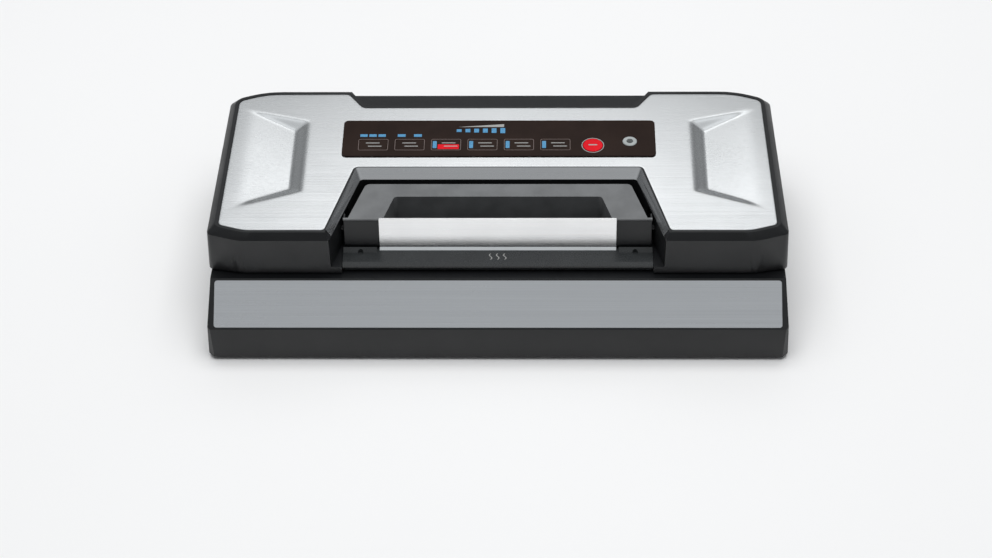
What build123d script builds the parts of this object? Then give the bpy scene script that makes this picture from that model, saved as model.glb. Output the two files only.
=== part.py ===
from build123d import *
import math
import os

# Countertop food vacuum sealer: a base, a rear-hinged lid and a locking handle.
# Millimetres. X across the machine, +Y to the rear, +Z up.
# Origin: centre of the machine's bounding box in plan, on the surface that it stands on.

# ---------------------------------------------------------------- overall form
FOOT_HEIGHT = 3.0
DECK_Z = 50.0
LID_BOTTOM_Z = 51.4
BEZEL_Z = 82.7
PLATE_TOP_Z = 88.0
FRONT_Y = -97.8
REAR_Y = 97.8
WALL = 2.6
FIT = 0.15
BIG = 300.0
THROUGH = (0.0, 100.0)
LOOSE = 0.3

# Half outlines (X > 0, front to rear) of the lid's lower edge, bezel edge and steel plate.
LID_BOTTOM_HALF = [(181.2, -62.3), (204.4, -57.9), (200.3, 88.2), (176.0, 97.2)]
LID_BEZEL_HALF = [(180.9, -63.5), (203.4, -56.4), (199.3, 88.6), (175.5, REAR_Y)]
PLATE_HALF = [(177.1, -57.8), (195.4, -51.8), (192.2, 84.6), (172.8, 92.1)]
LID_RADII = [30.0, 4.0, 6.0, 60.0]
PLATE_LIP = 2.6
PLATE_THICKNESS = 0.8
PLATE_SEAT_Z = PLATE_TOP_Z - PLATE_THICKNESS
LID_DECK_Z = PLATE_SEAT_Z - 2.2

# Handle pocket in the lid: the two ends of its right-hand side, and the plate's edge round it.
POCKET_REAR = (98.7, 2.2)
POCKET_FRONT = (119.5, -70.0)
POCKET_EDGE_REAR = (103.1, 9.7)
POCKET_EDGE_FRONT = (123.9, -70.0)
POCKET_EDGE_AT_PLATE = (120.7, -57.8)
PLATE_RADII = [4.0, 3.0, *LID_RADII, 5.0, 6.0]
POCKET_LIP = 1.2
POCKET_BEVEL_Z = 82.0
POCKET_FLOOR_Z = 57.0
POCKET_WALL = 2.2
POCKET_BACKING = 1.0
SHARP = 0.01
POCKET_RADII = [SHARP, 3.0, 3.0, SHARP]

# Step at the rear of the lid.
NOTCH_INNER = (100.6, 76.3)
NOTCH_OUTER = (111.5, 92.1)
NOTCH_REAR_Z = 81.4
NOTCH_LIP = 1.6
NOTCH_SIDE_SLOPE = 5.0
NOTCH_FLARE = 6.0

# Hand scoop pressed in the steel plate, right-hand one.
SCOOP_OUTER_X = 180.3
SCOOP_TOP_X = 140.0
SCOOP_FOOT_X = 148.7
SCOOP_OUTER_Y = (-30.5, 71.6)
SCOOP_TOP_Y = (-15.5, 60.4)
SCOOP_FOOT_Y = (-9.2, 55.8)
SCOOP_DEPTH = 5.0

# Base.
BASE_HALF_BOTTOM = [(201.0, FRONT_Y), (205.0, FRONT_Y + 4.0), (200.8, 95.0)]
BASE_HALF_TOP = [(199.3, FRONT_Y), (203.3, FRONT_Y + 4.0), (199.1, 95.0)]
SLOPE_FOOT = (-95.6, 27.5)
SLOPE_HEAD = (-66.7, DECK_Z)
BASE_REAR_Y = 95.0
COVER_THICKNESS = 2.4
BASE_FLOOR_Z = FOOT_HEIGHT + COVER_THICKNESS

# Brushed strip on the front slope.
TRIM_HALF_WIDTH = 199.6
TRIM_LENGTH = 33.5
TRIM_THICKNESS = 0.9
TRIM_PROUD = 0.3

# Vacuum chamber, gaskets and sealing line.
TROUGH_HALF_X = 106.0
TROUGH_Y = (-36.0, 14.0)
TROUGH_FLOOR_Z = 37.0
TROUGH_WALL = 2.2
GASKET_CENTRE_Y = -11.0
GASKET_HALF_X = 112.5
GASKET_HALF_Y = 31.5
GASKET_WIDTH = 5.0
GASKET_CORNER = 10.0
GASKET_SEAT_DEPTH = 2.5
GASKET_GAP_Z = (50.55, 50.85)
CHAMBER_HALF_X = 118.3
CHAMBER_Y = (-61.0, 25.0)
CHAMBER_Z = 44.5
SEAL_Y = (-57.6, -47.6)
SEAL_HALF_X = 116.0
SEAL_SEAT = 1.8
SEAL_PROUD = 0.4
SEAL_EDGE = 1.0
RIBBON_HALF = 1.5
UNDERSIDE_TOP_Z = 54.6
UNDERSIDE_FRONT_Y = -58.0

# Hinge of the lid on the base.
HINGE_Y = 92.0
HINGE_Z = 45.0
HINGE_PIN_R = 2.5
HINGE_LUG_R = 5.0
HINGE_LUG_X = (62.0, 84.0)
HINGE_EAR = 8.0
HINGE_GAP = 0.5
RUNNING = 0.05

# Locking handle and its pivot.
PIVOT_Y = -36.5
PIVOT_Z = 71.5
PIVOT_R = 2.5
BEARING_R = 7.0
BEARING_X = (111.5, 120.6)
PIVOT_HOLE_X = (90.0, 140.0)
HANDLE_TOP_Z = 82.4
BAR_TOP_Y = -40.6
BAR_FOOT_Y = -43.8
BAR_FOOT_Z = 60.0
BAR_BACK_Y = -32.6
BAR_LEAN = (BAR_TOP_Y - BAR_FOOT_Y) / (HANDLE_TOP_Z - BAR_FOOT_Z)
BAR_HALF_X = 83.7
CAP_OUTER_X = 108.8
CAP_LEDGE = 1.0
LEDGE_REAR_Y = -38.9
SKIN = 1.4
BEAM_CLEARANCE = 0.1
BEAM_TOP_Z = 80.8
HANDLE_SWEEP_R = 14.2
FRAME_REAR = (94.4, -2.9)
FRAME_FRONT = (105.4, -39.0)
FRAME_THICKNESS = 8.0
GRIP_WALL = 2.2
GRIP_WALL_FOOT_Z = 61.6
GRIP_REAR = (73.6, -16.4)
GRIP_FRONT = (80.3, -39.0)
HANDLE_SCREW_X = 99.0
LIP_STRIP_Y = (-46.9, -44.15)
LIP_STRIP_Z = (57.5, 58.6, 59.75)
HOOK_X = (122.0, 126.0)
HOOK_SLOT_X = (120.4, 127.6)
HOOK_SLOT_Y = (PIVOT_Y - 10.8, PIVOT_Y + 24.0)
HOOK_NOSE = 9.0
HOOK_HUB_R = 7.0
HOOK_REACH = 31.0
CATCH_GAP = 0.6
CATCH_LENGTH = 13.0
CATCH_OUTER_X = 132.0
CATCH_HEIGHT = 4.5
LIP_FRONT_Y = -60.3
LIP_REAR_Y = -44.1
LIP_PAD = [(LIP_REAR_Y, 57.0), (LIP_REAR_Y, 61.0), (-46.2, 61.0), (-50.5, 57.0)]
LIP_PAD_WIDTH = 23.4
LIP_SLOT = (97.0, -49.0)
LIP_SLOT_R = 1.9

# Control panel, keys and accessory port.
PANEL_HALF_X = 113.2
PANEL_Y = (20.6, 60.4)
PANEL_CORNER = 3.6
PANEL_THICKNESS = 0.9
PANEL_TOP_Z = PLATE_TOP_Z + PANEL_THICKNESS
PANEL_BORDER = 2.5
KEY_SIZE = (20.6, 11.4)
KEY_FIRST_X = -90.8
KEY_PITCH = 26.34
KEY_Y = 33.1
KEY_COUNT = 6
KEY_GAP = 0.3
KEY_FLANGE = 1.0
KEY_FLANGE_Z = (86.2, 87.4)
KEY_STEM_R = 1.5
PULSE_KEY = (67.9, 32.2)
PULSE_KEY_R = 7.1
PORT = (94.6, 36.3)
PORT_BORE_R = 2.4
PORT_BARREL_R = 4.0
PORT_FLANGE_R = 5.2
PORT_FLANGE = 0.7
PORT_FOOT_Z = 72.0
PORT_TUBE_Y = 9.3
PORT_TUBE_BORE_R = 2.0
BOARD_TOP_Z = 79.6
BOARD_THICKNESS = 1.6
SWITCH_TOP_Z = 84.2
SWITCH_BODY = 3.4
STEM_FOOT_Z = 85.2

# Indicator lenses: (X, Y, width, depth).
STATUS_LENSES = [
    (-98.0, 43.3, 5.4, 2.9),
    (-91.4, 43.3, 5.4, 2.9),
    (-84.8, 43.3, 5.4, 2.9),
    (-70.6, 43.3, 5.8, 2.9),
    (-58.8, 43.3, 5.8, 2.9),
]
PROGRESS_FIRST_X = -29.0
PROGRESS_PITCH = 6.34
PROGRESS_Y = 48.8
PROGRESS_DEPTHS = [3.0, 3.8, 4.3, 4.7, 5.2, 5.8]
PROGRESS_WIDTH = 3.6
LENS_DEPTH = 1.2

# Parts housed in the base.
INLET_X = (-168.0, -146.0)
INLET_Z = (14.0, 28.0)
INLET_DEPTH = 16.0
INLET_WALL = 1.8
INLET_PIN_SPREAD = 4.3
INLET_PIN_R = 1.2
TRANSFORMER_X = (-118.0, -64.0)
TRANSFORMER_Y = (36.0, 80.0)
CORE_LEG = 9.0
CORE_Z = (BASE_FLOOR_Z + 4.0, BASE_FLOOR_Z + 22.0)
CORE_FOOT = 3.0
COIL_HALF_X = 17.6
COIL_Z = (BASE_FLOOR_Z + 0.5, BASE_FLOOR_Z + 31.0)
BOARD_X = (-54.0, 32.0)
BOARD_Y = (32.0, 80.0)
BOARD_Z = 12.0
STANDOFF_INSET = 4.0
STANDOFF_R = 3.0
BOARD_BLOCKS = [
    ((-38.0, -20.0), (52.0, 66.0), 15.0),
    ((-34.0, -22.0), (36.0, 44.0), 9.0),
    ((22.0, 30.0), (36.0, 62.0), 18.0),
]
BOARD_CAPACITORS = [(-4.0, 60.0, 6.0, 20.0), (12.0, 60.0, 5.0, 16.0)]
PUMP_X = (50.0, 90.0)
PUMP_Y = 58.0
PUMP_Z = 26.0
PUMP_R = 14.0
SHAFT_R = 1.5
BEARING_BOSS_R = 4.5
HEAD_X = (92.0, 124.0)
HEAD_HALF_Y = 15.0
HEAD_Z = (PUMP_Z - 13.0, PUMP_Z + 17.0)
HEAD_WALL = 4.0
HEAD_BORE_R = 11.0
ECCENTRIC_R = 6.5
ECCENTRIC_THROW = 2.0
BRACKET_THICKNESS = 1.5
BRACKET_HALF_Y = 18.0
HEAD_NIPPLE = (HEAD_X[0] + 16.0, PUMP_Z + 10.0)
NIPPLE = (98.0, 40.3)
NIPPLE_R = 2.4
TUBE_R = 3.4
TUBE_BEND_R = 5.0
LID_SWITCH = ((134.0, 140.0), (-66.0, -46.0), (BASE_FLOOR_Z + 28.0, BASE_FLOOR_Z + 38.0))

# Screws.
SCREW_R = 1.5
SCREW_HEAD_R = 2.8
SCREW_HEAD = 1.4
SCREW_SLOT = (1.8, 0.35)
SCREW_SLOT_DEPTH = 0.7
SCREW_SLACK = 0.2
BASE_SCREW_TIP_Z = 18.0
LID_SCREW_TIP_Z = 64.0
POST_R = 4.0
LID_SCREWS = [(192.0, -47.0), (188.0, 78.0), (136.0, -50.0), (122.0, 40.0)]
BASE_SCREWS = [(192.0, -68.0), (187.0, 78.0), (136.0, -40.0)]
FEET = [(175.0, -78.0), (172.0, 76.0)]
FOOT_R = 9.0
FOOT_RECESS = 0.8
VENT_COUNT = 6
VENT_PITCH = 7.0
VENT_WIDTH = 2.5
VENT_LENGTH = 28.0
VENT_FIRST_Y = 40.0


# ---------------------------------------------------------------- helpers
def block(x, y, z):
    """Box between the given (low, high) pairs."""
    size = Box(x[1] - x[0], y[1] - y[0], z[1] - z[0])
    return Pos((x[0] + x[1]) / 2, (y[0] + y[1]) / 2, (z[0] + z[1]) / 2) * size


def both_sides(shape):
    """A right-hand shape and its mirror image."""
    return shape + mirror(shape, Plane.YZ)


def rod(x, y, z, radius):
    """Cylinder along X between two X values."""
    return Pos((x[0] + x[1]) / 2, y, z) * Cylinder(radius, x[1] - x[0], rotation=(0, 90, 0))


def post(x, y, z, radius):
    """Cylinder along Z between two Z values."""
    return Pos(x, y, (z[0] + z[1]) / 2) * Cylinder(radius, z[1] - z[0])


def mirrored(half):
    """Closed outline from its right-hand half."""
    return list(half) + [(-x, y) for x, y in reversed(half)]


def face_of(points, radii=0.0):
    """Plan face of an outline, with optional corner radii."""
    if radii:
        return make_face(FilletPolyline(*points, radius=radii, close=True))
    return make_face(Polyline(*points, close=True))


def plan_prism(points, z, radii=0.0):
    """Upright prism over a plan outline."""
    return extrude(Pos(0, 0, z[0]) * face_of(points, radii), amount=z[1] - z[0])


def section_prism(points, x):
    """Prism along X over an outline of (Y, Z) points."""
    face = Plane.YZ * make_face(Polyline(*points, close=True))
    return Pos(x[0], 0, 0) * extrude(face, amount=x[1] - x[0])


def inset(half, amount):
    """Face of a half outline moved inwards, or outwards if the amount is negative."""
    return offset(face_of(mirrored(half)), -amount, kind=Kind.INTERSECTION)


def between(face_low, z_low, face_high, z_high):
    """Solid with flat sides between two plan faces."""
    return loft([Pos(0, 0, z_low) * face_low, Pos(0, 0, z_high) * face_high], ruled=True)


def rounded_block(x, y, z, corner):
    """Box with rounded upright corners."""
    face = RectangleRounded(x[1] - x[0], y[1] - y[0], corner)
    return extrude(Pos((x[0] + x[1]) / 2, (y[0] + y[1]) / 2, z[0]) * face, amount=z[1] - z[0])


def symmetric(half_x):
    """The pair (-x, x)."""
    return (-half_x, half_x)


def around(x, y, size, grow=0.0):
    """X and Y limits of a rectangle about a centre, grown on every side."""
    half_x = size[0] / 2 + grow
    half_y = size[1] / 2 + grow
    return (x - half_x, x + half_x), (y - half_y, y + half_y)


def gasket_ring(z, grow=0.0):
    """Oval ring round the vacuum chamber, between two heights."""
    rings = []
    for side in (1, -1):
        reach = side * (GASKET_WIDTH / 2 + grow)
        half_y = GASKET_HALF_Y + reach
        y = (GASKET_CENTRE_Y - half_y, GASKET_CENTRE_Y + half_y)
        rings.append(rounded_block(symmetric(GASKET_HALF_X + reach), y, z, GASKET_CORNER + reach))
    return rings[0] - rings[1]


def scoop_form(drop=0.0, grow=0.0):
    """Wedge-shaped form of the right-hand scoop, lowered and widened for its underside."""
    z_top = PLATE_TOP_Z - drop
    z_foot = z_top - SCOOP_DEPTH
    a = (SCOOP_OUTER_X + grow, SCOOP_OUTER_Y[0] - grow, z_top)
    b = (SCOOP_OUTER_X + grow, SCOOP_OUTER_Y[1] + grow, z_top)
    c = (SCOOP_TOP_X - grow, SCOOP_TOP_Y[1] + grow, z_top)
    d = (SCOOP_TOP_X - grow, SCOOP_TOP_Y[0] - grow, z_top)
    e = (SCOOP_FOOT_X - grow, SCOOP_FOOT_Y[1] + grow, z_foot)
    f = (SCOOP_FOOT_X - grow, SCOOP_FOOT_Y[0] - grow, z_foot)
    return ConvexPolyhedron([a, b, c, d, e, f])


def upright_screw(x, y, z):
    """Cross-slotted screw, driven from below, between its head's face and its tip."""
    screw = post(x, y, (z[0], z[0] + SCREW_HEAD), SCREW_HEAD_R)
    screw += post(x, y, (z[0] + 1, z[1]), SCREW_R - RUNNING)
    for half_x, half_y in (SCREW_SLOT, SCREW_SLOT[::-1]):
        slot_z = (z[0] - 1, z[0] + SCREW_SLOT_DEPTH)
        screw -= block((x - half_x, x + half_x), (y - half_y, y + half_y), slot_z)
    return screw


def screw_hole(x, y, face_z):
    """Clearance hole with a recess for the head below a face's height."""
    hole = post(x, y, THROUGH, SCREW_R + SCREW_SLACK)
    return hole + post(x, y, (0, face_z + SCREW_HEAD), SCREW_HEAD_R + SCREW_SLACK)


def save(name, shape):
    """Write one sub-part."""
    export_step(shape, os.path.join("parts", name + ".step"))


# ---------------------------------------------------------------- base: outside
def base_section(shrink=0.0):
    """Side section of the base, moved inwards by a wall."""
    points = [
        (FRONT_Y, FOOT_HEIGHT),
        SLOPE_FOOT,
        SLOPE_HEAD,
        (BASE_REAR_Y - 1.5, DECK_Z),
        (BASE_REAR_Y, DECK_Z - 1.5),
        (BASE_REAR_Y, FOOT_HEIGHT),
    ]
    face = make_face(Polyline(*points, close=True))
    if shrink:
        face = offset(face, -shrink, kind=Kind.INTERSECTION)
    return Plane.YZ * face


def base_form(shrink=0.0):
    """Outer form of the base, or its hollow when shrunk."""
    section = extrude(base_section(shrink), amount=BIG, both=True)
    plan = between(inset(BASE_HALF_BOTTOM, shrink), FOOT_HEIGHT, inset(BASE_HALF_TOP, shrink), DECK_Z)
    return section & plan


def cover_plan(gap):
    """Plan face inside the base's side walls."""
    return inset(BASE_HALF_BOTTOM, WALL + gap)


def slope_plane():
    """Working plane on the front slope: X across, Y up the slope."""
    run = SLOPE_HEAD[0] - SLOPE_FOOT[0]
    rise = SLOPE_HEAD[1] - SLOPE_FOOT[1]
    middle = (0, SLOPE_FOOT[0] + run / 2, SLOPE_FOOT[1] + rise / 2)
    return Plane(origin=middle, x_dir=(1, 0, 0), z_dir=(0, -rise, run))


def trim_strip(grow, low, high):
    """Strip on the slope, between two heights over the slope."""
    face = RectangleRounded(2 * (TRIM_HALF_WIDTH + grow), TRIM_LENGTH + 2 * grow, 2.0 + grow)
    return slope_plane() * (Pos(0, 0, low) * extrude(face, amount=high - low))


def trough_hollow(gap=0.0, floor=TROUGH_FLOOR_Z):
    """Space of the vacuum trough."""
    y = (TROUGH_Y[0] + gap, TROUGH_Y[1] - gap)
    return rounded_block(symmetric(TROUGH_HALF_X - gap), y, (floor, DECK_Z + 1), 6.0 - gap)


def inlet_body(grow, depth):
    """Rounded body of the power inlet, reaching in from the rear wall."""
    x = (INLET_X[0] - grow, INLET_X[1] + grow)
    z = (INLET_Z[0] - grow, INLET_Z[1] + grow)
    face = RectangleRounded(x[1] - x[0], z[1] - z[0], 4.0 + grow)
    centre = (sum(x) / 2, BASE_REAR_Y, sum(z) / 2)
    plane = Plane(origin=centre, x_dir=(1, 0, 0), z_dir=(0, -1, 0))
    return plane * extrude(face, amount=depth)


def along_y(x, y, z, radius):
    """Cylinder along Y between two Y values."""
    return Pos(x, (y[0] + y[1]) / 2, z) * Cylinder(radius, y[1] - y[0], rotation=(90, 0, 0))


def make_base_housing():
    """Black base shell, open below, with the trough's mouth, gasket seat, hinge ears and screw posts."""
    hollow = base_form(WALL)
    open_bottom = extrude(cover_plan(0), amount=BASE_FLOOR_Z + WALL)
    shell = base_form() - hollow - open_bottom
    shell += block(symmetric(CHAMBER_HALF_X), CHAMBER_Y, (CHAMBER_Z, DECK_Z - 1))
    ear_x = (HINGE_LUG_X[0] - HINGE_EAR, HINGE_LUG_X[1] + HINGE_EAR)
    shell += both_sides(block(ear_x, (HINGE_Y - 11, BASE_REAR_Y - 1), (HINGE_Z - 10, DECK_Z - 1)))
    for x, y in BASE_SCREWS:
        shell += both_sides(post(x, y, (BASE_FLOOR_Z, DECK_Z - 1), POST_R) & base_form(1.0))
    shell -= trough_hollow()
    shell -= gasket_ring((DECK_Z - GASKET_SEAT_DEPTH, DECK_Z + 1), FIT)
    seal_y = (SEAL_Y[0] - FIT, SEAL_Y[1] + FIT)
    shell -= block(symmetric(SEAL_HALF_X + FIT), seal_y, (DECK_Z - SEAL_SEAT, DECK_Z + 1))
    shell -= both_sides(block(HOOK_SLOT_X, HOOK_SLOT_Y, (CHAMBER_Z - 1, DECK_Z + 1)))
    seat_x = (HINGE_LUG_X[0] - HINGE_GAP, HINGE_LUG_X[1] + HINGE_GAP)
    shell -= both_sides(block(seat_x, (HINGE_Y - 8, BASE_REAR_Y + 1), (HINGE_Z - 7, DECK_Z + 1)))
    pin_x = (ear_x[0] + 1.5, ear_x[1] - 1.5)
    shell -= both_sides(rod(pin_x, HINGE_Y, HINGE_Z, HINGE_PIN_R + RUNNING))
    shell -= trim_strip(FIT, TRIM_PROUD - TRIM_THICKNESS, 3.0)
    for x, y in BASE_SCREWS:
        shell -= both_sides(post(x, y, (0, BASE_SCREW_TIP_Z + 4), SCREW_R))
    return shell - inlet_body(FIT, 2 * WALL)


def make_vacuum_trough():
    """Tub under the deck that closes the vacuum trough, with the hole for the pump's tube."""
    y = (TROUGH_Y[0] - TROUGH_WALL, TROUGH_Y[1] + TROUGH_WALL)
    tub = block(symmetric(TROUGH_HALF_X + TROUGH_WALL), y, (TROUGH_FLOOR_Z - TROUGH_WALL, CHAMBER_Z))
    tub -= trough_hollow()
    return tub - along_y(NIPPLE[0], (TROUGH_Y[1] - 1, y[1] + 1), NIPPLE[1], NIPPLE_R + RUNNING)


def make_bottom_cover():
    """Flat cover that closes the base from below."""
    cover = Pos(0, 0, FOOT_HEIGHT) * extrude(cover_plan(SCREW_SLACK), amount=COVER_THICKNESS)
    for x, y in BASE_SCREWS:
        cover -= both_sides(screw_hole(x, y, FOOT_HEIGHT))
    for x, y in FEET:
        cover -= both_sides(post(x, y, (0, FOOT_HEIGHT + FOOT_RECESS), FOOT_R + FIT))
    vent_x = (HEAD_X[1] + 4, HEAD_X[1] + 4 + VENT_LENGTH)
    for row in range(VENT_COUNT):
        y = VENT_FIRST_Y + VENT_PITCH * row
        cover -= rounded_block(vent_x, (y, y + VENT_WIDTH), THROUGH, 1.2)
    return cover


def make_rubber_feet():
    """Four round rubber feet."""
    feet = []
    for x, y in FEET:
        foot = post(x, y, (0, FOOT_HEIGHT + FOOT_RECESS), FOOT_R)
        foot = chamfer(foot.edges().group_by(Axis.Z)[0], 0.8)
        feet.append(foot)
    return both_sides(feet[0] + feet[1])


def make_base_screws():
    """Screws that hold the bottom cover."""
    screws = Part()
    for x, y in BASE_SCREWS:
        screws += both_sides(upright_screw(x, y, (FOOT_HEIGHT, BASE_SCREW_TIP_Z)))
    return screws


def make_drip_tray():
    """Lift-out tray that lines the vacuum trough."""
    tray = trough_hollow(LOOSE, TROUGH_FLOOR_Z + 0.2)
    tray &= block(symmetric(BIG), symmetric(BIG), (0, DECK_Z - LOOSE))
    tray -= trough_hollow(1.7, TROUGH_FLOOR_Z + 1.7)
    tray -= along_y(NIPPLE[0], (TROUGH_Y[1] - 5, TROUGH_Y[1] + 1), NIPPLE[1], NIPPLE_R + 1.5)
    return tray


def make_seal_rubber_strip():
    """Rubber strip that the sealing bar presses the bag on."""
    strip = block(symmetric(SEAL_HALF_X), SEAL_Y, (DECK_Z - SEAL_SEAT, DECK_Z + SEAL_PROUD))
    return chamfer(strip.edges().group_by(Axis.Z)[-1], SEAL_PROUD)


def make_latch_catches():
    """Steel catch plates under the deck, in front of the hook slots."""
    x = (CHAMBER_HALF_X + CATCH_GAP, CATCH_OUTER_X)
    rear = PIVOT_Y - HOOK_NOSE - CATCH_GAP
    front = rear - CATCH_LENGTH
    nose_top = PIVOT_Z - HOOK_REACH + CATCH_HEIGHT
    plate = block(x, (front, rear), (nose_top, nose_top + 1.5))
    pad = block(x, (front, rear - 3), (nose_top + 1, DECK_Z - WALL - 0.1))
    return both_sides(plate + pad)


def make_hinge_pins():
    """Steel pins of the lid hinge."""
    x = (HINGE_LUG_X[0] - HINGE_EAR + 2, HINGE_LUG_X[1] + HINGE_EAR - 2)
    return both_sides(rod(x, HINGE_Y, HINGE_Z, HINGE_PIN_R))


# ---------------------------------------------------------------- base: inside
def make_power_inlet():
    """Two-pin power inlet in the rear wall."""
    middle_x = (INLET_X[0] + INLET_X[1]) / 2
    middle_z = (INLET_Z[0] + INLET_Z[1]) / 2
    inlet = inlet_body(0, INLET_DEPTH)
    inlet -= inlet_body(-INLET_WALL, INLET_DEPTH - 2)
    for side in (-1, 1):
        x = middle_x + side * INLET_PIN_SPREAD
        inlet += along_y(x, (BASE_REAR_Y - INLET_DEPTH, BASE_REAR_Y - 2), middle_z, INLET_PIN_R)
    return inlet


def make_transformer_core():
    """Laminated core, open round the coil."""
    core = block(TRANSFORMER_X, TRANSFORMER_Y, CORE_Z)
    middle = sum(TRANSFORMER_X) / 2
    window_y = (TRANSFORMER_Y[0] + CORE_LEG, TRANSFORMER_Y[1] - CORE_LEG)
    for x in ((middle + CORE_LEG, middle + 2 * CORE_LEG), (middle - 2 * CORE_LEG, middle - CORE_LEG)):
        core -= block(x, window_y, THROUGH)
    for y in (TRANSFORMER_Y[0] + 4, TRANSFORMER_Y[1] - 4):
        core += block(TRANSFORMER_X, (y - CORE_FOOT, y + CORE_FOOT), (BASE_FLOOR_Z, CORE_Z[0] + 1))
    return core


def make_transformer_coil():
    """Coil on the core's middle leg."""
    middle = sum(TRANSFORMER_X) / 2
    gap = 0.4
    y = (TRANSFORMER_Y[0] + CORE_LEG + gap, TRANSFORMER_Y[1] - CORE_LEG - gap)
    coil = rounded_block((middle - COIL_HALF_X, middle + COIL_HALF_X), y, COIL_Z, 3.0)
    tunnel_x = (middle - CORE_LEG - 0.2, middle + CORE_LEG + 0.2)
    return coil - block(tunnel_x, (y[0] - 1, y[1] + 1), (CORE_Z[0] - 0.2, CORE_Z[1] + 0.2))


def make_power_board():
    """Power circuit board with its larger components and stand-offs."""
    board = block(BOARD_X, BOARD_Y, (BOARD_Z, BOARD_Z + BOARD_THICKNESS))
    for x in (BOARD_X[0] + STANDOFF_INSET, BOARD_X[1] - STANDOFF_INSET):
        for y in (BOARD_Y[0] + STANDOFF_INSET, BOARD_Y[1] - STANDOFF_INSET):
            board += post(x, y, (BASE_FLOOR_Z, BOARD_Z + 0.5), STANDOFF_R)
    top = BOARD_Z + BOARD_THICKNESS - 0.2
    for x, y, height in BOARD_BLOCKS:
        board += block(x, y, (top, top + height))
    for x, y, radius, height in BOARD_CAPACITORS:
        board += post(x, y, (top, top + height), radius)
    return board


def make_pump_motor():
    """Motor can with its bearing boss."""
    motor = rod(PUMP_X, PUMP_Y, PUMP_Z, PUMP_R)
    motor += rod((PUMP_X[0] - 2, PUMP_X[0] + 1), PUMP_Y, PUMP_Z, BEARING_BOSS_R)
    return motor - rod((PUMP_X[0] + 6, HEAD_X[1]), PUMP_Y, PUMP_Z, SHAFT_R + RUNNING)


def make_pump_crank():
    """Motor shaft with the eccentric that works the pump's membrane."""
    crank = rod((PUMP_X[0] + 7, HEAD_X[1] - 6), PUMP_Y, PUMP_Z, SHAFT_R)
    return crank + rod((HEAD_X[0] + 8, HEAD_X[0] + 18), PUMP_Y, PUMP_Z + ECCENTRIC_THROW, ECCENTRIC_R)


def make_pump_head():
    """Hollow pump head with its suction nipple."""
    y = (PUMP_Y - HEAD_HALF_Y, PUMP_Y + HEAD_HALF_Y)
    head = block(HEAD_X, y, HEAD_Z)
    head -= rod((HEAD_X[0] + HEAD_WALL, HEAD_X[1] - HEAD_WALL), PUMP_Y, PUMP_Z, HEAD_BORE_R)
    head -= rod((HEAD_X[0] - 1, HEAD_X[0] + HEAD_WALL + 1), PUMP_Y, PUMP_Z, SHAFT_R + RUNNING)
    return head + along_y(HEAD_NIPPLE[0], (y[0] - 6, y[0] + 1), HEAD_NIPPLE[1], NIPPLE_R)


def make_pump_bracket():
    """Sheet bracket that carries motor and head."""
    x = (PUMP_X[0] + 4, HEAD_X[1])
    y = (PUMP_Y - BRACKET_HALF_Y, PUMP_Y + BRACKET_HALF_Y)
    bracket = block(x, y, (BASE_FLOOR_Z, BASE_FLOOR_Z + BRACKET_THICKNESS))
    for left in (x[0], PUMP_X[1] - 10):
        bracket += block((left, left + 6), (PUMP_Y - 12, PUMP_Y + 12), (BASE_FLOOR_Z, PUMP_Z - 2))
    return bracket - rod((PUMP_X[0] - 5, PUMP_X[1] + 5), PUMP_Y, PUMP_Z, PUMP_R + 0.1)


def make_vacuum_tube():
    """Soft tube from the trough to the pump head."""
    start = (NIPPLE[0], TROUGH_Y[1] + TROUGH_WALL + LOOSE, NIPPLE[1])
    end = (HEAD_NIPPLE[0], PUMP_Y - HEAD_HALF_Y - LOOSE, HEAD_NIPPLE[1])
    route = [start, (start[0], start[1] + 6, start[2]), (end[0], end[1] - 11, end[2]), end]
    path = FilletPolyline(*route, radius=TUBE_BEND_R)
    plane = Plane(origin=start, z_dir=(0, 1, 0))
    outer = sweep(plane * Circle(TUBE_R), path=path)
    return outer - sweep(plane * Circle(NIPPLE_R + RUNNING), path=path)


def make_lid_switches():
    """Two small switches beside the latches."""
    x, y, z = LID_SWITCH
    body = block(x, y, z)
    body += block((x[0] + 1, x[1] - 1), (y[0] + 2, y[1] - 6), (z[1] - 0.2, z[1] + 1.5))
    return both_sides(body)


# ---------------------------------------------------------------- lid
def pocket_plan(grow):
    """Plan of the handle pocket, open to the front."""
    front = (POCKET_FRONT[0] + grow, POCKET_FRONT[1])
    return mirrored([front, (POCKET_REAR[0] + grow, POCKET_REAR[1] + grow)])


def plate_outline():
    """Outline of the steel plate: pocket corner, wing, rear notch, and back."""
    right = [POCKET_EDGE_REAR, POCKET_EDGE_AT_PLATE, *PLATE_HALF, NOTCH_OUTER, NOTCH_INNER]
    return right + [(-x, y) for x, y in reversed(right)]


def plate_solid(z, grow=0.0):
    """Plate outline as a solid between two heights."""
    face = face_of(plate_outline(), PLATE_RADII + PLATE_RADII[::-1])
    if grow:
        face = offset(face, grow, kind=Kind.INTERSECTION)
    return extrude(Pos(0, 0, z[0]) * face, amount=z[1] - z[0])


def rounded_outline(half):
    """Face of one of the lid's outlines, with its rounded corners."""
    return face_of(mirrored(half), LID_RADII + LID_RADII[::-1])


def lid_form():
    """Outer form of the lid: upright sides, then the bezel up to the plate's lip."""
    middle = rounded_outline(LID_BEZEL_HALF)
    top = offset(rounded_outline(PLATE_HALF), PLATE_LIP, kind=Kind.INTERSECTION)
    sides = between(rounded_outline(LID_BOTTOM_HALF), LID_BOTTOM_Z, middle, BEZEL_Z)
    return sides + between(middle, BEZEL_Z, top, PLATE_TOP_Z)


def pocket_edge_plan(grow):
    """Plan of the plate's edge round the pocket, open to the front."""
    front = (POCKET_EDGE_FRONT[0] + grow, POCKET_EDGE_FRONT[1])
    rear = (POCKET_EDGE_REAR[0] + grow, POCKET_EDGE_REAR[1] + grow)
    return mirrored([front, rear])


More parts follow.
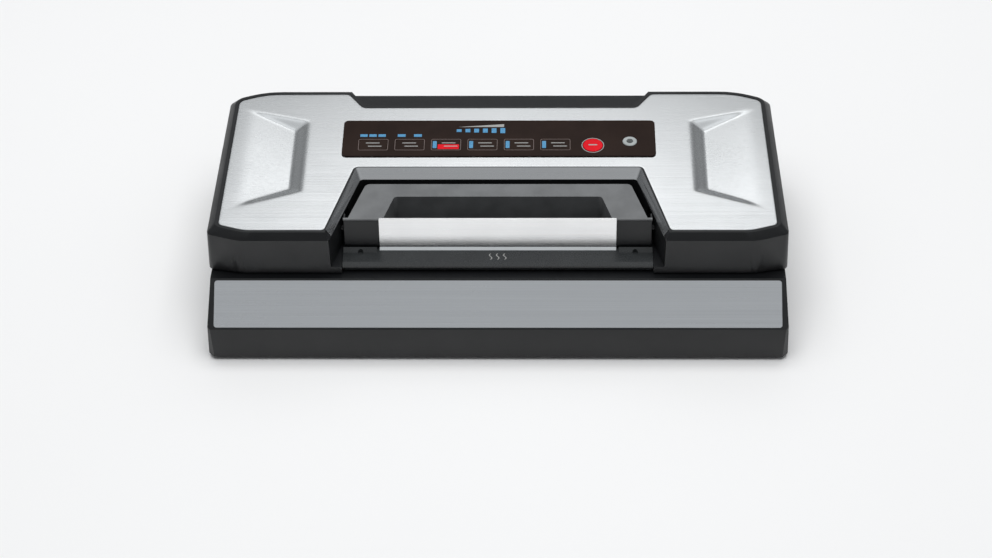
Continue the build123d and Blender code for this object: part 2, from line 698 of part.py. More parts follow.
def pocket_bevel():
    """Sloping edge between the plate and the pocket."""
    low = face_of(pocket_plan(0), POCKET_RADII)
    high = face_of(pocket_edge_plan(-POCKET_LIP), POCKET_RADII)
    return between(low, POCKET_BEVEL_Z, high, PLATE_TOP_Z + 0.2)


def handle_sweep(grow):
    """Room in the pocket's side walls for the end caps as the handle turns."""
    sweep = rod(symmetric(CAP_OUTER_X + 0.6 + grow), PIVOT_Y, PIVOT_Z, HANDLE_SWEEP_R + grow)
    return sweep & block(symmetric(BIG), (-BIG, BIG), (0, POCKET_BEVEL_Z - 2 + grow))


def notch_plan(setback):
    """Plan of the step, its slanting ends set back from the plate's edge."""
    run = NOTCH_OUTER[0] - NOTCH_INNER[0]
    rise = NOTCH_OUTER[1] - NOTCH_INNER[1]
    shift = setback * math.hypot(run, rise) / rise
    inner = (NOTCH_INNER[0] - shift - run / rise, NOTCH_INNER[1] - 1)
    middle = (NOTCH_OUTER[0] - shift, NOTCH_OUTER[1])
    outer = (NOTCH_OUTER[0] - shift + NOTCH_FLARE, REAR_Y + 4)
    return face_of(mirrored([inner, middle, outer]), [6.0, 8.0, SHARP, SHARP, 8.0, 6.0])


def notch_cut(grow=0.0):
    """Sloping step at the rear of the lid, grown on all sides to find its inner wall."""
    front = NOTCH_INNER[1] + NOTCH_LIP - grow
    slope = section_prism(
        [
            (front, PLATE_TOP_Z + 3),
            (front, PLATE_TOP_Z - 1.0),
            (front + 2.4, PLATE_TOP_Z - 2.6 - grow),
            (REAR_Y + 2, NOTCH_REAR_Z - grow),
            (REAR_Y + 2, PLATE_TOP_Z + 3),
        ],
        symmetric(BIG),
    )
    low = notch_plan(NOTCH_LIP + NOTCH_SIDE_SLOPE - grow)
    high = notch_plan(NOTCH_LIP - grow)
    return slope & between(low, NOTCH_REAR_Z - WALL, high, PLATE_TOP_Z + 3)


def key_centres():
    """Plan centres of the six rectangular keys."""
    return [(KEY_FIRST_X + KEY_PITCH * number, KEY_Y) for number in range(KEY_COUNT)]


def progress_lenses():
    """Growing row of progress lenses as (X, Y, width, depth)."""
    return [
        (PROGRESS_FIRST_X + PROGRESS_PITCH * number, PROGRESS_Y, PROGRESS_WIDTH, depth)
        for number, depth in enumerate(PROGRESS_DEPTHS)
    ]


def panel_window(z):
    """Opening below the control panel."""
    half_x = PANEL_HALF_X - PANEL_BORDER
    y = (PANEL_Y[0] + PANEL_BORDER, PANEL_Y[1] - PANEL_BORDER)
    return rounded_block(symmetric(half_x), y, z, 2.0)


def lid_cavity():
    """Inside of the lid's side walls, up to the deck under the plate."""
    slant = WALL + 0.6
    shoulder_z = BEZEL_Z - 0.5
    middle = inset(LID_BEZEL_HALF, slant)
    cavity = between(inset(LID_BOTTOM_HALF, WALL), LID_BOTTOM_Z - 1, middle, shoulder_z)
    return cavity + between(middle, shoulder_z, inset(PLATE_HALF, slant - PLATE_LIP), LID_DECK_Z)


def pocket_tub():
    """Solid form of the handle pocket's walls and floor."""
    foot_z = POCKET_FLOOR_Z - POCKET_WALL
    tub = plan_prism(pocket_plan(POCKET_WALL), (foot_z, PLATE_TOP_Z))
    tub += handle_sweep(POCKET_WALL) & block(symmetric(BIG), symmetric(BIG), (foot_z, BIG))
    return tub + plan_prism(pocket_edge_plan(POCKET_BACKING), (POCKET_BEVEL_Z - POCKET_WALL, PLATE_TOP_Z))


def make_lid_housing():
    """Black lid shell with the handle pocket, open below."""
    shell = lid_form()
    shell -= lid_cavity() - pocket_tub() - notch_cut(WALL)
    shell -= plan_prism(pocket_plan(0), (POCKET_FLOOR_Z, PLATE_TOP_Z + 2), POCKET_RADII)
    shell -= pocket_bevel() + handle_sweep(0)
    shell -= notch_cut()
    shell -= plate_solid((PLATE_SEAT_Z, PLATE_TOP_Z + 1), FIT)
    shell -= panel_window((LID_DECK_Z - 1, PLATE_TOP_Z))
    for drop in (PLATE_THICKNESS - 0.1, PLATE_THICKNESS + LOOSE):
        shell -= both_sides(scoop_form(drop, 2.0))
    # Room for the front lip and the sealing bar below the pocket.
    lip_z = (LID_BOTTOM_Z - 1, POCKET_FLOOR_Z + 2)
    shell -= block(symmetric(CAP_OUTER_X + 0.9), (POCKET_FRONT[1], LIP_REAR_Y + 0.2), lip_z)
    bar_z = (LID_BOTTOM_Z - 1, POCKET_FLOOR_Z - POCKET_WALL)
    shell -= block(symmetric(POCKET_FRONT[0] + 20), (SEAL_Y[0] - 1.8, SEAL_Y[1] + 7.6), bar_z)
    # Bearings of the handle's pivot in the pocket walls.
    shell += both_sides(rod(BEARING_X, PIVOT_Y, PIVOT_Z, BEARING_R) - lid_pocket_space())
    shell -= both_sides(rod(PIVOT_HOLE_X, PIVOT_Y, PIVOT_Z, PIVOT_R + RUNNING))
    for lug in hinge_lugs():
        shell += lug
    pin_x = (HINGE_LUG_X[0] - 1, HINGE_LUG_X[1] + 1)
    shell -= both_sides(rod(pin_x, HINGE_Y, HINGE_Z, HINGE_PIN_R + RUNNING))
    for x, y in LID_SCREWS:
        shell += both_sides(post(x, y, (UNDERSIDE_TOP_Z + 0.1, LID_DECK_Z + 0.5), POST_R) & lid_form())
        shell -= both_sides(post(x, y, (LID_BOTTOM_Z, LID_SCREW_TIP_Z + 2), SCREW_R))
    return shell


def lid_pocket_space():
    """Open space of the handle pocket."""
    return plan_prism(pocket_plan(0), (POCKET_FLOOR_Z, PLATE_TOP_Z + 2))


def hinge_lugs():
    """Two lugs under the lid's rear edge, round the hinge pins."""
    lug = rod(HINGE_LUG_X, HINGE_Y, HINGE_Z, HINGE_LUG_R)
    lug += block(HINGE_LUG_X, (HINGE_Y - HINGE_LUG_R + 0.2, HINGE_Y + 4.4), (HINGE_Z, UNDERSIDE_TOP_Z + 3))
    return [lug, mirror(lug, Plane.YZ)]


def make_lid_top_plate():
    """Steel skin of the lid with its two pressed scoops."""
    plate = plate_solid((PLATE_SEAT_Z, PLATE_TOP_Z))
    plate += both_sides(scoop_form(PLATE_THICKNESS, 0.9))
    plate -= both_sides(scoop_form(-0.001, 0.0))
    return plate - panel_window((PLATE_SEAT_Z - 1, PLATE_TOP_Z + 1))


def make_lid_underside():
    """Inner panel that closes the lid and forms the upper half of the chamber."""
    face = inset(LID_BOTTOM_HALF, WALL + 0.3)
    panel = Pos(0, 0, LID_BOTTOM_Z + 0.2) * extrude(face, amount=UNDERSIDE_TOP_Z - LID_BOTTOM_Z - 0.2)
    panel -= block(symmetric(CAP_OUTER_X + 1.5), (FRONT_Y, UNDERSIDE_FRONT_Y), THROUGH)
    panel -= gasket_ring((LID_BOTTOM_Z - 1, LID_BOTTOM_Z + 2.0), FIT)
    panel -= block(symmetric(SEAL_HALF_X + FIT), (SEAL_Y[0] + 0.9, SEAL_Y[1] - 0.9), THROUGH)
    panel -= trough_chamber()
    slot_y = (HOOK_SLOT_Y[0], HOOK_SLOT_Y[1] + 3.5)
    panel -= both_sides(block(HOOK_SLOT_X, slot_y, THROUGH))
    lug_x = (HINGE_LUG_X[0] - HINGE_GAP, HINGE_LUG_X[1] + HINGE_GAP)
    panel -= both_sides(block(lug_x, (HINGE_Y - HINGE_LUG_R - LOOSE, BIG), THROUGH))
    panel -= post(PORT[0], PORT_TUBE_Y, THROUGH, NIPPLE_R + RUNNING)
    for x, y in LID_SCREWS:
        panel -= both_sides(screw_hole(x, y, LID_BOTTOM_Z + SCREW_SLACK))
    return panel


def trough_chamber():
    """Shallow hollow in the lid's underside over the trough."""
    y = (TROUGH_Y[0], TROUGH_Y[1])
    return rounded_block(symmetric(TROUGH_HALF_X), y, (LID_BOTTOM_Z - 1, LID_BOTTOM_Z + 1.5), 6.0)


def make_seal_bar():
    """Bar that carries the heating wire."""
    y = (SEAL_Y[0] + SEAL_EDGE, SEAL_Y[1] - SEAL_EDGE)
    bar = block(symmetric(SEAL_HALF_X), y, (LID_BOTTOM_Z + 0.1, UNDERSIDE_TOP_Z))
    middle = sum(SEAL_Y) / 2
    groove_y = (middle - RIBBON_HALF - 0.1, middle + RIBBON_HALF + 0.1)
    return bar - block(symmetric(SEAL_HALF_X - 2), groove_y, (0, LID_BOTTOM_Z + 0.5))


def make_heating_wire():
    """Flat heating ribbon in the bar's groove."""
    middle = sum(SEAL_Y) / 2
    y = (middle - RIBBON_HALF, middle + RIBBON_HALF)
    return block(symmetric(SEAL_HALF_X - 2.2), y, (LID_BOTTOM_Z + 0.1, LID_BOTTOM_Z + 0.45))


def make_seal_tape():
    """Slippery tape over the ribbon."""
    y = (SEAL_Y[0] + SEAL_EDGE, SEAL_Y[1] - SEAL_EDGE)
    return block(symmetric(SEAL_HALF_X), y, (LID_BOTTOM_Z - 0.2, LID_BOTTOM_Z + 0.05))


def make_lip_strip():
    """Narrow steel strip along the lip, under the foot of the bar."""
    section = [
        (LIP_STRIP_Y[0], LIP_STRIP_Z[0]),
        (LIP_STRIP_Y[0], LIP_STRIP_Z[1]),
        (LIP_STRIP_Y[1], LIP_STRIP_Z[2]),
        (LIP_STRIP_Y[1], LIP_STRIP_Z[0]),
    ]
    return section_prism(section, symmetric(BAR_HALF_X))


def make_front_lip():
    """Stepped lip in front of the handle bar, over the sealing bar."""
    foot = LID_BOTTOM_Z + 0.1
    outline = [
        (LIP_REAR_Y, 58.2),
        (LIP_STRIP_Y[0], LIP_STRIP_Z[1]),
        (-57.8, 57.6),
        (LIP_FRONT_Y, 56.0),
        (LIP_FRONT_Y - 0.2, 54.6),
        (LIP_FRONT_Y + 0.9, 53.9),
        (LIP_FRONT_Y + 0.9, foot),
        (LIP_FRONT_Y + 2.1, foot),
        (LIP_FRONT_Y + 2.1, UNDERSIDE_TOP_Z + 0.2),
        (LIP_REAR_Y, UNDERSIDE_TOP_Z + 0.2),
    ]
    lip = section_prism(outline, symmetric(CAP_OUTER_X + 0.6))
    lip += both_sides(section_prism(LIP_PAD, (CAP_OUTER_X - LIP_PAD_WIDTH, CAP_OUTER_X + 0.4)))
    lip -= rod(symmetric(BIG), PIVOT_Y, PIVOT_Z, HANDLE_SWEEP_R)
    seat_y = (LIP_STRIP_Y[0] - FIT / 2, BAR_BACK_Y)
    lip -= block(symmetric(BAR_HALF_X + FIT), seat_y, (LIP_STRIP_Z[0], HANDLE_TOP_Z))
    return lip - both_sides(post(*LIP_SLOT, (LIP_STRIP_Z[0] - LOOSE, HANDLE_TOP_Z), LIP_SLOT_R))


def make_control_panel():
    """Glossy panel with openings for keys, lenses and the port."""
    panel = rounded_block(symmetric(PANEL_HALF_X), PANEL_Y, (PLATE_TOP_Z, PANEL_TOP_Z), PANEL_CORNER)
    z = (PLATE_TOP_Z - 1, PANEL_TOP_Z + 1)
    for x, y in key_centres():
        panel -= rounded_block(*around(x, y, KEY_SIZE), z, 0.8)
    for x, y, width, depth in STATUS_LENSES + progress_lenses():
        panel -= block(*around(x, y, (width, depth)), z)
    panel -= post(*PULSE_KEY, z, PULSE_KEY_R + KEY_GAP)
    return panel - post(*PORT, z, PORT_BARREL_R + RUNNING)


def lens_group(lenses):
    """Small clear lenses set in the panel."""
    group = Part()
    for x, y, width, depth in lenses:
        limits = around(x, y, (width, depth), -RUNNING)
        group += block(*limits, (PLATE_TOP_Z - LENS_DEPTH, PANEL_TOP_Z + 0.1))
    return group


def make_key(x, y):
    """Rectangular key: cap, hidden flange and stem."""
    key = rounded_block(*around(x, y, KEY_SIZE, -KEY_GAP), (KEY_FLANGE_Z[0], PANEL_TOP_Z), 0.6)
    key += block(*around(x, y, KEY_SIZE, KEY_FLANGE - KEY_GAP), KEY_FLANGE_Z)
    return key + post(x, y, (STEM_FOOT_Z, KEY_FLANGE_Z[0] + 0.5), KEY_STEM_R)


def make_pulse_key():
    """Round, slightly domed key."""
    x, y = PULSE_KEY
    key = post(x, y, (KEY_FLANGE_Z[0], PANEL_TOP_Z + 0.5), PULSE_KEY_R)
    key = fillet(key.edges().group_by(Axis.Z)[-1], 0.45)
    key += post(x, y, KEY_FLANGE_Z, PULSE_KEY_R + KEY_FLANGE)
    return key + post(x, y, (STEM_FOOT_Z, KEY_FLANGE_Z[0] + 0.5), KEY_STEM_R)


def make_control_board():
    """Circuit board under the control panel."""
    y = (PANEL_Y[0] + 3, PANEL_Y[1] - 3)
    board = block(symmetric(PANEL_HALF_X - 6), y, (BOARD_TOP_Z - BOARD_THICKNESS, BOARD_TOP_Z))
    return board - post(*PORT, THROUGH, PORT_BARREL_R + 2)


def make_key_switches():
    """Small push switches under the keys."""
    switches = Part()
    for x, y in key_centres() + [PULSE_KEY]:
        switches += block(*around(x, y, (6.0, 6.0)), (BOARD_TOP_Z, BOARD_TOP_Z + SWITCH_BODY))
        switches += post(x, y, (BOARD_TOP_Z + SWITCH_BODY - 0.2, SWITCH_TOP_Z), KEY_STEM_R)
    return switches


def make_accessory_port():
    """Flanged bush that takes an accessory hose."""
    port = post(*PORT, (PANEL_TOP_Z, PANEL_TOP_Z + PORT_FLANGE), PORT_FLANGE_R)
    port = chamfer(port.edges().group_by(Axis.Z)[-1], 0.4)
    port += post(*PORT, (PORT_FOOT_Z, PANEL_TOP_Z + 0.1), PORT_BARREL_R)
    return port - post(*PORT, THROUGH, PORT_BORE_R)


def make_port_tube():
    """Soft tube from the port down to the lid's chamber."""
    start = (PORT[0], PORT[1], PORT_FOOT_Z - 0.1)
    end = (PORT[0], PORT_TUBE_Y, UNDERSIDE_TOP_Z + 0.1)
    route = [start, (start[0], start[1], start[2] - 8), (end[0], end[1], end[2] + 7), end]
    path = FilletPolyline(*route, radius=TUBE_BEND_R)
    plane = Plane(origin=start, z_dir=(0, 0, -1))
    outer = sweep(plane * Circle(TUBE_R), path=path)
    return outer - sweep(plane * Circle(PORT_TUBE_BORE_R), path=path)


def make_lid_screws():
    """Screws that hold the lid's inner panel."""
    screws = Part()
    for x, y in LID_SCREWS:
        screws += both_sides(upright_screw(x, y, (LID_BOTTOM_Z + SCREW_SLACK, LID_SCREW_TIP_Z)))
    return screws


# ---------------------------------------------------------------- locking handle
def bar_front_y(z, depth=0.0):
    """Y of the bar's leaning front face, or of a face that far behind it."""
    return BAR_FOOT_Y + depth + BAR_LEAN * (z - BAR_FOOT_Z)


def skin_section():
    """Section of the skin over the bar's front and foot."""
    inner_z = BAR_FOOT_Z + SKIN
    back = BAR_BACK_Y - BEAM_CLEARANCE
    return [
        (bar_front_y(BAR_FOOT_Z), BAR_FOOT_Z),
        (bar_front_y(HANDLE_TOP_Z), HANDLE_TOP_Z),
        (bar_front_y(HANDLE_TOP_Z, SKIN), HANDLE_TOP_Z),
        (bar_front_y(inner_z, SKIN), inner_z),
        (back, inner_z),
        (back, BAR_FOOT_Z),
    ]


def cheek_section(low, high):
    """Section of the handle's end between two heights, behind the bar's front."""
    back = BAR_BACK_Y - BEAM_CLEARANCE
    return [(bar_front_y(low), low), (bar_front_y(high), high), (back, high), (back, low)]


def beam_section():
    """Section of the beam inside the bar, falling away behind its top edge."""
    depth = SKIN + BEAM_CLEARANCE
    foot = BAR_FOOT_Z + depth
    front = bar_front_y(BEAM_TOP_Z, depth)
    return [
        (bar_front_y(foot, depth), foot),
        (front, BEAM_TOP_Z),
        (BAR_BACK_Y, BEAM_TOP_Z - (BAR_BACK_Y - front)),
        (BAR_BACK_Y, foot),
    ]


def frame_plan():
    """Plan of the flat frame behind the bar."""
    return mirrored([FRAME_FRONT, FRAME_REAR])


def grip_plan(grow):
    """Plan of the finger opening, grown at its ends and rear."""
    return mirrored([(GRIP_FRONT[0] + grow, GRIP_FRONT[1]), (GRIP_REAR[0] + grow, GRIP_REAR[1] + grow)])


def make_handle_frame():
    """Grey frame with the beam inside the bar and the finger opening."""
    z = (HANDLE_TOP_Z - FRAME_THICKNESS, HANDLE_TOP_Z)
    frame = plan_prism(frame_plan(), z, [SHARP, 4.0, 4.0, SHARP])
    frame += plan_prism(grip_plan(GRIP_WALL), (GRIP_WALL_FOOT_Z, HANDLE_TOP_Z), POCKET_RADII)
    ledge = section_prism(cheek_section(HANDLE_TOP_Z - CAP_LEDGE, HANDLE_TOP_Z), (GRIP_FRONT[0], CAP_OUTER_X))
    frame += both_sides(ledge & block(symmetric(BIG), (-BIG, LEDGE_REAR_Y), THROUGH))
    frame -= both_sides(section_prism(skin_section(), (0, BAR_HALF_X + FIT)))
    frame -= plan_prism(grip_plan(0), (0, BIG), POCKET_RADII)
    frame += section_prism(beam_section(), symmetric(CAP_OUTER_X - SKIN - BEAM_CLEARANCE))
    frame += both_sides(block((86.0, 103.0), (BAR_BACK_Y, BAR_BACK_Y + 4), (PIVOT_Z - 6, HANDLE_TOP_Z - 1)))
    frame -= both_sides(along_y(HANDLE_SCREW_X, (PIVOT_Y, 0), PIVOT_Z, SCREW_R))
    return frame - both_sides(rod(PIVOT_HOLE_X, PIVOT_Y, PIVOT_Z, PIVOT_R + RUNNING))


def make_grip_bar():
    """Brushed steel skin of the bar."""
    return section_prism(skin_section(), symmetric(BAR_HALF_X))


def make_end_cap_right():
    """Black cap at the right end of the bar."""
    top = HANDLE_TOP_Z - CAP_LEDGE
    cap = section_prism(skin_section(), (BAR_HALF_X + 0.3, CAP_OUTER_X))
    cap &= block(symmetric(BIG), symmetric(BIG), (0, top - FIT))
    cap += section_prism(cheek_section(BAR_FOOT_Z, top - FIT), (CAP_OUTER_X - SKIN, CAP_OUTER_X))
    return cap - rod(PIVOT_HOLE_X, PIVOT_Y, PIVOT_Z, PIVOT_R + RUNNING)


def make_pivot_shafts():
    """Shafts that join the handle to its hooks through the pocket walls."""
    return both_sides(rod((94.0, HOOK_X[1] + 3.0), PIVOT_Y, PIVOT_Z, PIVOT_R))


def make_latch_hooks():
    """Hooks on the shaft ends."""
    nose_foot = PIVOT_Z - HOOK_REACH
    outline = [
        (PIVOT_Y - 4, PIVOT_Z),
        (PIVOT_Y - 4, nose_foot + 4.5),
        (PIVOT_Y - HOOK_NOSE, nose_foot + 4.0),
        (PIVOT_Y - 7.5, nose_foot),
        (PIVOT_Y + 2, nose_foot),
        (PIVOT_Y + 4, nose_foot + 3),
        (PIVOT_Y + 4, PIVOT_Z),
    ]
    hook = section_prism(outline, HOOK_X) + rod(HOOK_X, PIVOT_Y, PIVOT_Z, HOOK_HUB_R)
    return both_sides(hook - rod(PIVOT_HOLE_X, PIVOT_Y, PIVOT_Z, PIVOT_R + RUNNING))


def make_handle_screws():
    """Screws that pin the shafts in the frame, from behind."""
    back = BAR_BACK_Y + 4.0
    screw = along_y(HANDLE_SCREW_X, (back + 0.05, back + 1.6), PIVOT_Z, SCREW_HEAD_R)
    screw += along_y(HANDLE_SCREW_X, (PIVOT_Y + PIVOT_R + 0.1, back + 0.5), PIVOT_Z, SCREW_R - RUNNING)
    return both_sides(screw)


# ---------------------------------------------------------------- write all sub-parts
def main():
    os.makedirs("parts", exist_ok=True)
    save("base_housing", make_base_housing())
    save("vacuum_trough", make_vacuum_trough())
    save("bottom_cover", make_bottom_cover())
    save("ledge_trim_strip", trim_strip(0, TRIM_PROUD - TRIM_THICKNESS, TRIM_PROUD))
    save("lower_gasket", gasket_ring((DECK_Z - GASKET_SEAT_DEPTH, GASKET_GAP_Z[0])))
    save("drip_tray", make_drip_tray())
    save("seal_rubber_strip", make_seal_rubber_strip())
    save("latch_catches", make_latch_catches())
    save("rubber_feet", make_rubber_feet())
    save("base_screws", make_base_screws())
    save("hinge_pins", make_hinge_pins())
    save("power_inlet", make_power_inlet())
    save("transformer_core", make_transformer_core())
    save("transformer_coil", make_transformer_coil())
    save("power_board", make_power_board())
    save("pump_motor", make_pump_motor())
    save("pump_crank", make_pump_crank())
    save("pump_head", make_pump_head())
    save("pump_bracket", make_pump_bracket())
    save("vacuum_tube", make_vacuum_tube())
    save("lid_switches", make_lid_switches())

    save("lid_housing", make_lid_housing())
    save("lid_top_plate", make_lid_top_plate())
    save("lid_underside", make_lid_underside())
    save("lid_gasket", gasket_ring((GASKET_GAP_Z[1], LID_BOTTOM_Z + 2.0)))
    save("front_lip", make_front_lip())
    save("lip_strip", make_lip_strip())
    save("seal_bar", make_seal_bar())
    save("heating_wire", make_heating_wire())
    save("seal_tape", make_seal_tape())
    save("control_panel", make_control_panel())
    save("status_lenses", lens_group(STATUS_LENSES))
    save("progress_lenses", lens_group(progress_lenses()))
    save("control_board", make_control_board())
    save("key_switches", make_key_switches())
    save("accessory_port", make_accessory_port())
    save("port_tube", make_port_tube())
    save("lid_screws", make_lid_screws())
    for number, (x, y) in enumerate(key_centres(), start=1):
        save(f"key_{number}", make_key(x, y))
    save("pulse_key", make_pulse_key())

    save("handle_frame", make_handle_frame())
    save("grip_bar", make_grip_bar())
    save("end_cap_right", make_end_cap_right())
    save("end_cap_left", mirror(make_end_cap_right(), Plane.YZ))
    save("pivot_shafts", make_pivot_shafts())
    save("latch_hooks", make_latch_hooks())
    save("handle_screws", make_handle_screws())


main()
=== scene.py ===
import math

import bmesh
import bpy
from mathutils import Matrix, Vector, geometry


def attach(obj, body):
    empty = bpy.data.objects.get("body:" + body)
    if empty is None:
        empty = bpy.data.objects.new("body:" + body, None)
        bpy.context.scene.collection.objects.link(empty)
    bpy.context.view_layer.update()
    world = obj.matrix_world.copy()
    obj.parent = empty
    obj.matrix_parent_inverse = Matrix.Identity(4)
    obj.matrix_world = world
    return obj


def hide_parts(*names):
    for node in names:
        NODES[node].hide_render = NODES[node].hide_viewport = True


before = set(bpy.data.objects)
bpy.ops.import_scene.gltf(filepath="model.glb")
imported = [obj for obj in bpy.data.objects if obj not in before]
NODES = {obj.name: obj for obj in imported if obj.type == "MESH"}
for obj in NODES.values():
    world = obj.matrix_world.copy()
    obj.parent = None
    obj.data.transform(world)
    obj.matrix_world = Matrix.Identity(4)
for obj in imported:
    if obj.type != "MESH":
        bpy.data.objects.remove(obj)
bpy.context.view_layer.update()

# Looks of a countertop vacuum sealer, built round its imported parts. Metres, in the parts' own frame:
# X across the machine, +Y to the rear, +Z up.

MM = 0.001


# ---------------------------------------------------------------- camera, light and floor
CAMERA_PLACE = Vector((32.6, -1346.2, 1250.3)) * MM
CAMERA_PITCH = math.radians(43.175)
CAMERA_YAW = math.radians(-1.509)
CAMERA_ROLL = math.radians(1.022)
CAMERA_LENS = 90.48


def make_camera():
    """Long lens, looking down on the machine from the front."""
    forward = Vector((
        math.sin(CAMERA_YAW) * math.cos(CAMERA_PITCH),
        math.cos(CAMERA_YAW) * math.cos(CAMERA_PITCH),
        -math.sin(CAMERA_PITCH),
    ))
    level = Vector((math.cos(CAMERA_YAW), -math.sin(CAMERA_YAW), 0.0))
    down = forward.cross(level)
    right = level * math.cos(CAMERA_ROLL) + down * math.sin(CAMERA_ROLL)
    below = down * math.cos(CAMERA_ROLL) - level * math.sin(CAMERA_ROLL)
    data = bpy.data.cameras.new("camera")
    data.lens = CAMERA_LENS
    data.sensor_width = 36.0
    data.dof.use_dof = False
    camera = bpy.data.objects.new("camera", data)
    bpy.context.scene.collection.objects.link(camera)
    turn = Matrix((right, -below, -forward)).transposed()
    camera.matrix_world = Matrix.Translation(CAMERA_PLACE) @ turn.to_4x4()
    bpy.context.scene.camera = camera


def area_lamp(name, shape, place, target, size, radiance, glossy=True):
    """Flat lamp of even radiance, facing a target, that the camera doesn't see."""
    data = bpy.data.lights.new(name, "AREA")
    data.shape = shape
    data.size, data.size_y = size
    area = size[0] * size[1] * (math.pi / 4 if shape == "ELLIPSE" else 1.0)
    data.energy = math.pi * area * radiance
    lamp = bpy.data.objects.new(name, data)
    bpy.context.scene.collection.objects.link(lamp)
    lamp.location = place
    lamp.rotation_mode = "QUATERNION"
    lamp.rotation_quaternion = (Vector(target) - Vector(place)).to_track_quat("-Z", "Y")
    lamp.visible_camera = False
    lamp.visible_glossy = glossy
    return lamp


ROOM_TINT = (0.96, 0.98, 1.0)
ROOM_LOW = 0.05
ROOM_CEILING = 0.48
ROOM_REAR = 0.26
ROOM_ZENITH = 0.35


def make_room():
    """Soft room: dim low down in front, brighter towards the ceiling and the rear wall."""
    world = bpy.data.worlds.new("studio")
    world.use_nodes = True
    bpy.context.scene.world = world
    tree = world.node_tree
    background = tree.nodes["Background"]
    coords = tree.nodes.new("ShaderNodeTexCoord")
    split = tree.nodes.new("ShaderNodeSeparateXYZ")
    tree.links.new(coords.outputs["Generated"], split.inputs["Vector"])

    def ramp(source, start, end, low, high):
        node = tree.nodes.new("ShaderNodeMapRange")
        node.interpolation_type = "SMOOTHSTEP"
        for socket, value in zip(node.inputs[1:5], (start, end, low, high)):
            socket.default_value = value
        tree.links.new(source, node.inputs["Value"])
        return node.outputs["Result"]

    def join(operation, first, second):
        node = tree.nodes.new("ShaderNodeMath")
        node.operation = operation
        tree.links.new(first, node.inputs[0])
        tree.links.new(second, node.inputs[1])
        return node.outputs["Value"]

    ceiling = ramp(split.outputs["Z"], 0.22, 0.85, ROOM_LOW, ROOM_LOW + ROOM_CEILING)
    rear = ramp(split.outputs["Y"], 0.0, 0.7, 0.0, ROOM_REAR)
    low_wall = ramp(split.outputs["Z"], 0.1, 0.5, 1.0, 0.0)
    zenith = ramp(split.outputs["Z"], 0.88, 0.96, 0.0, ROOM_ZENITH)
    upper = join("ADD", ceiling, zenith)
    tree.links.new(join("ADD", upper, join("MULTIPLY", rear, low_wall)), background.inputs["Strength"])
    background.inputs["Color"].default_value = (*ROOM_TINT, 1.0)


def make_studio():
    """Soft room, a large overhead light and an oval softbox behind the machine."""
    bpy.context.scene.view_settings.view_transform = "Standard"
    make_room()
    machine = (0.0, 0.0, 0.06)
    area_lamp("overhead", "RECTANGLE", (0.0, 0.1, 2.2), machine, (2.0, 2.0), 3.2, glossy=False)
    area_lamp("rear_softbox", "ELLIPSE", (0.0, 0.9, 1.04), machine, (0.86, 0.44), 0.84)


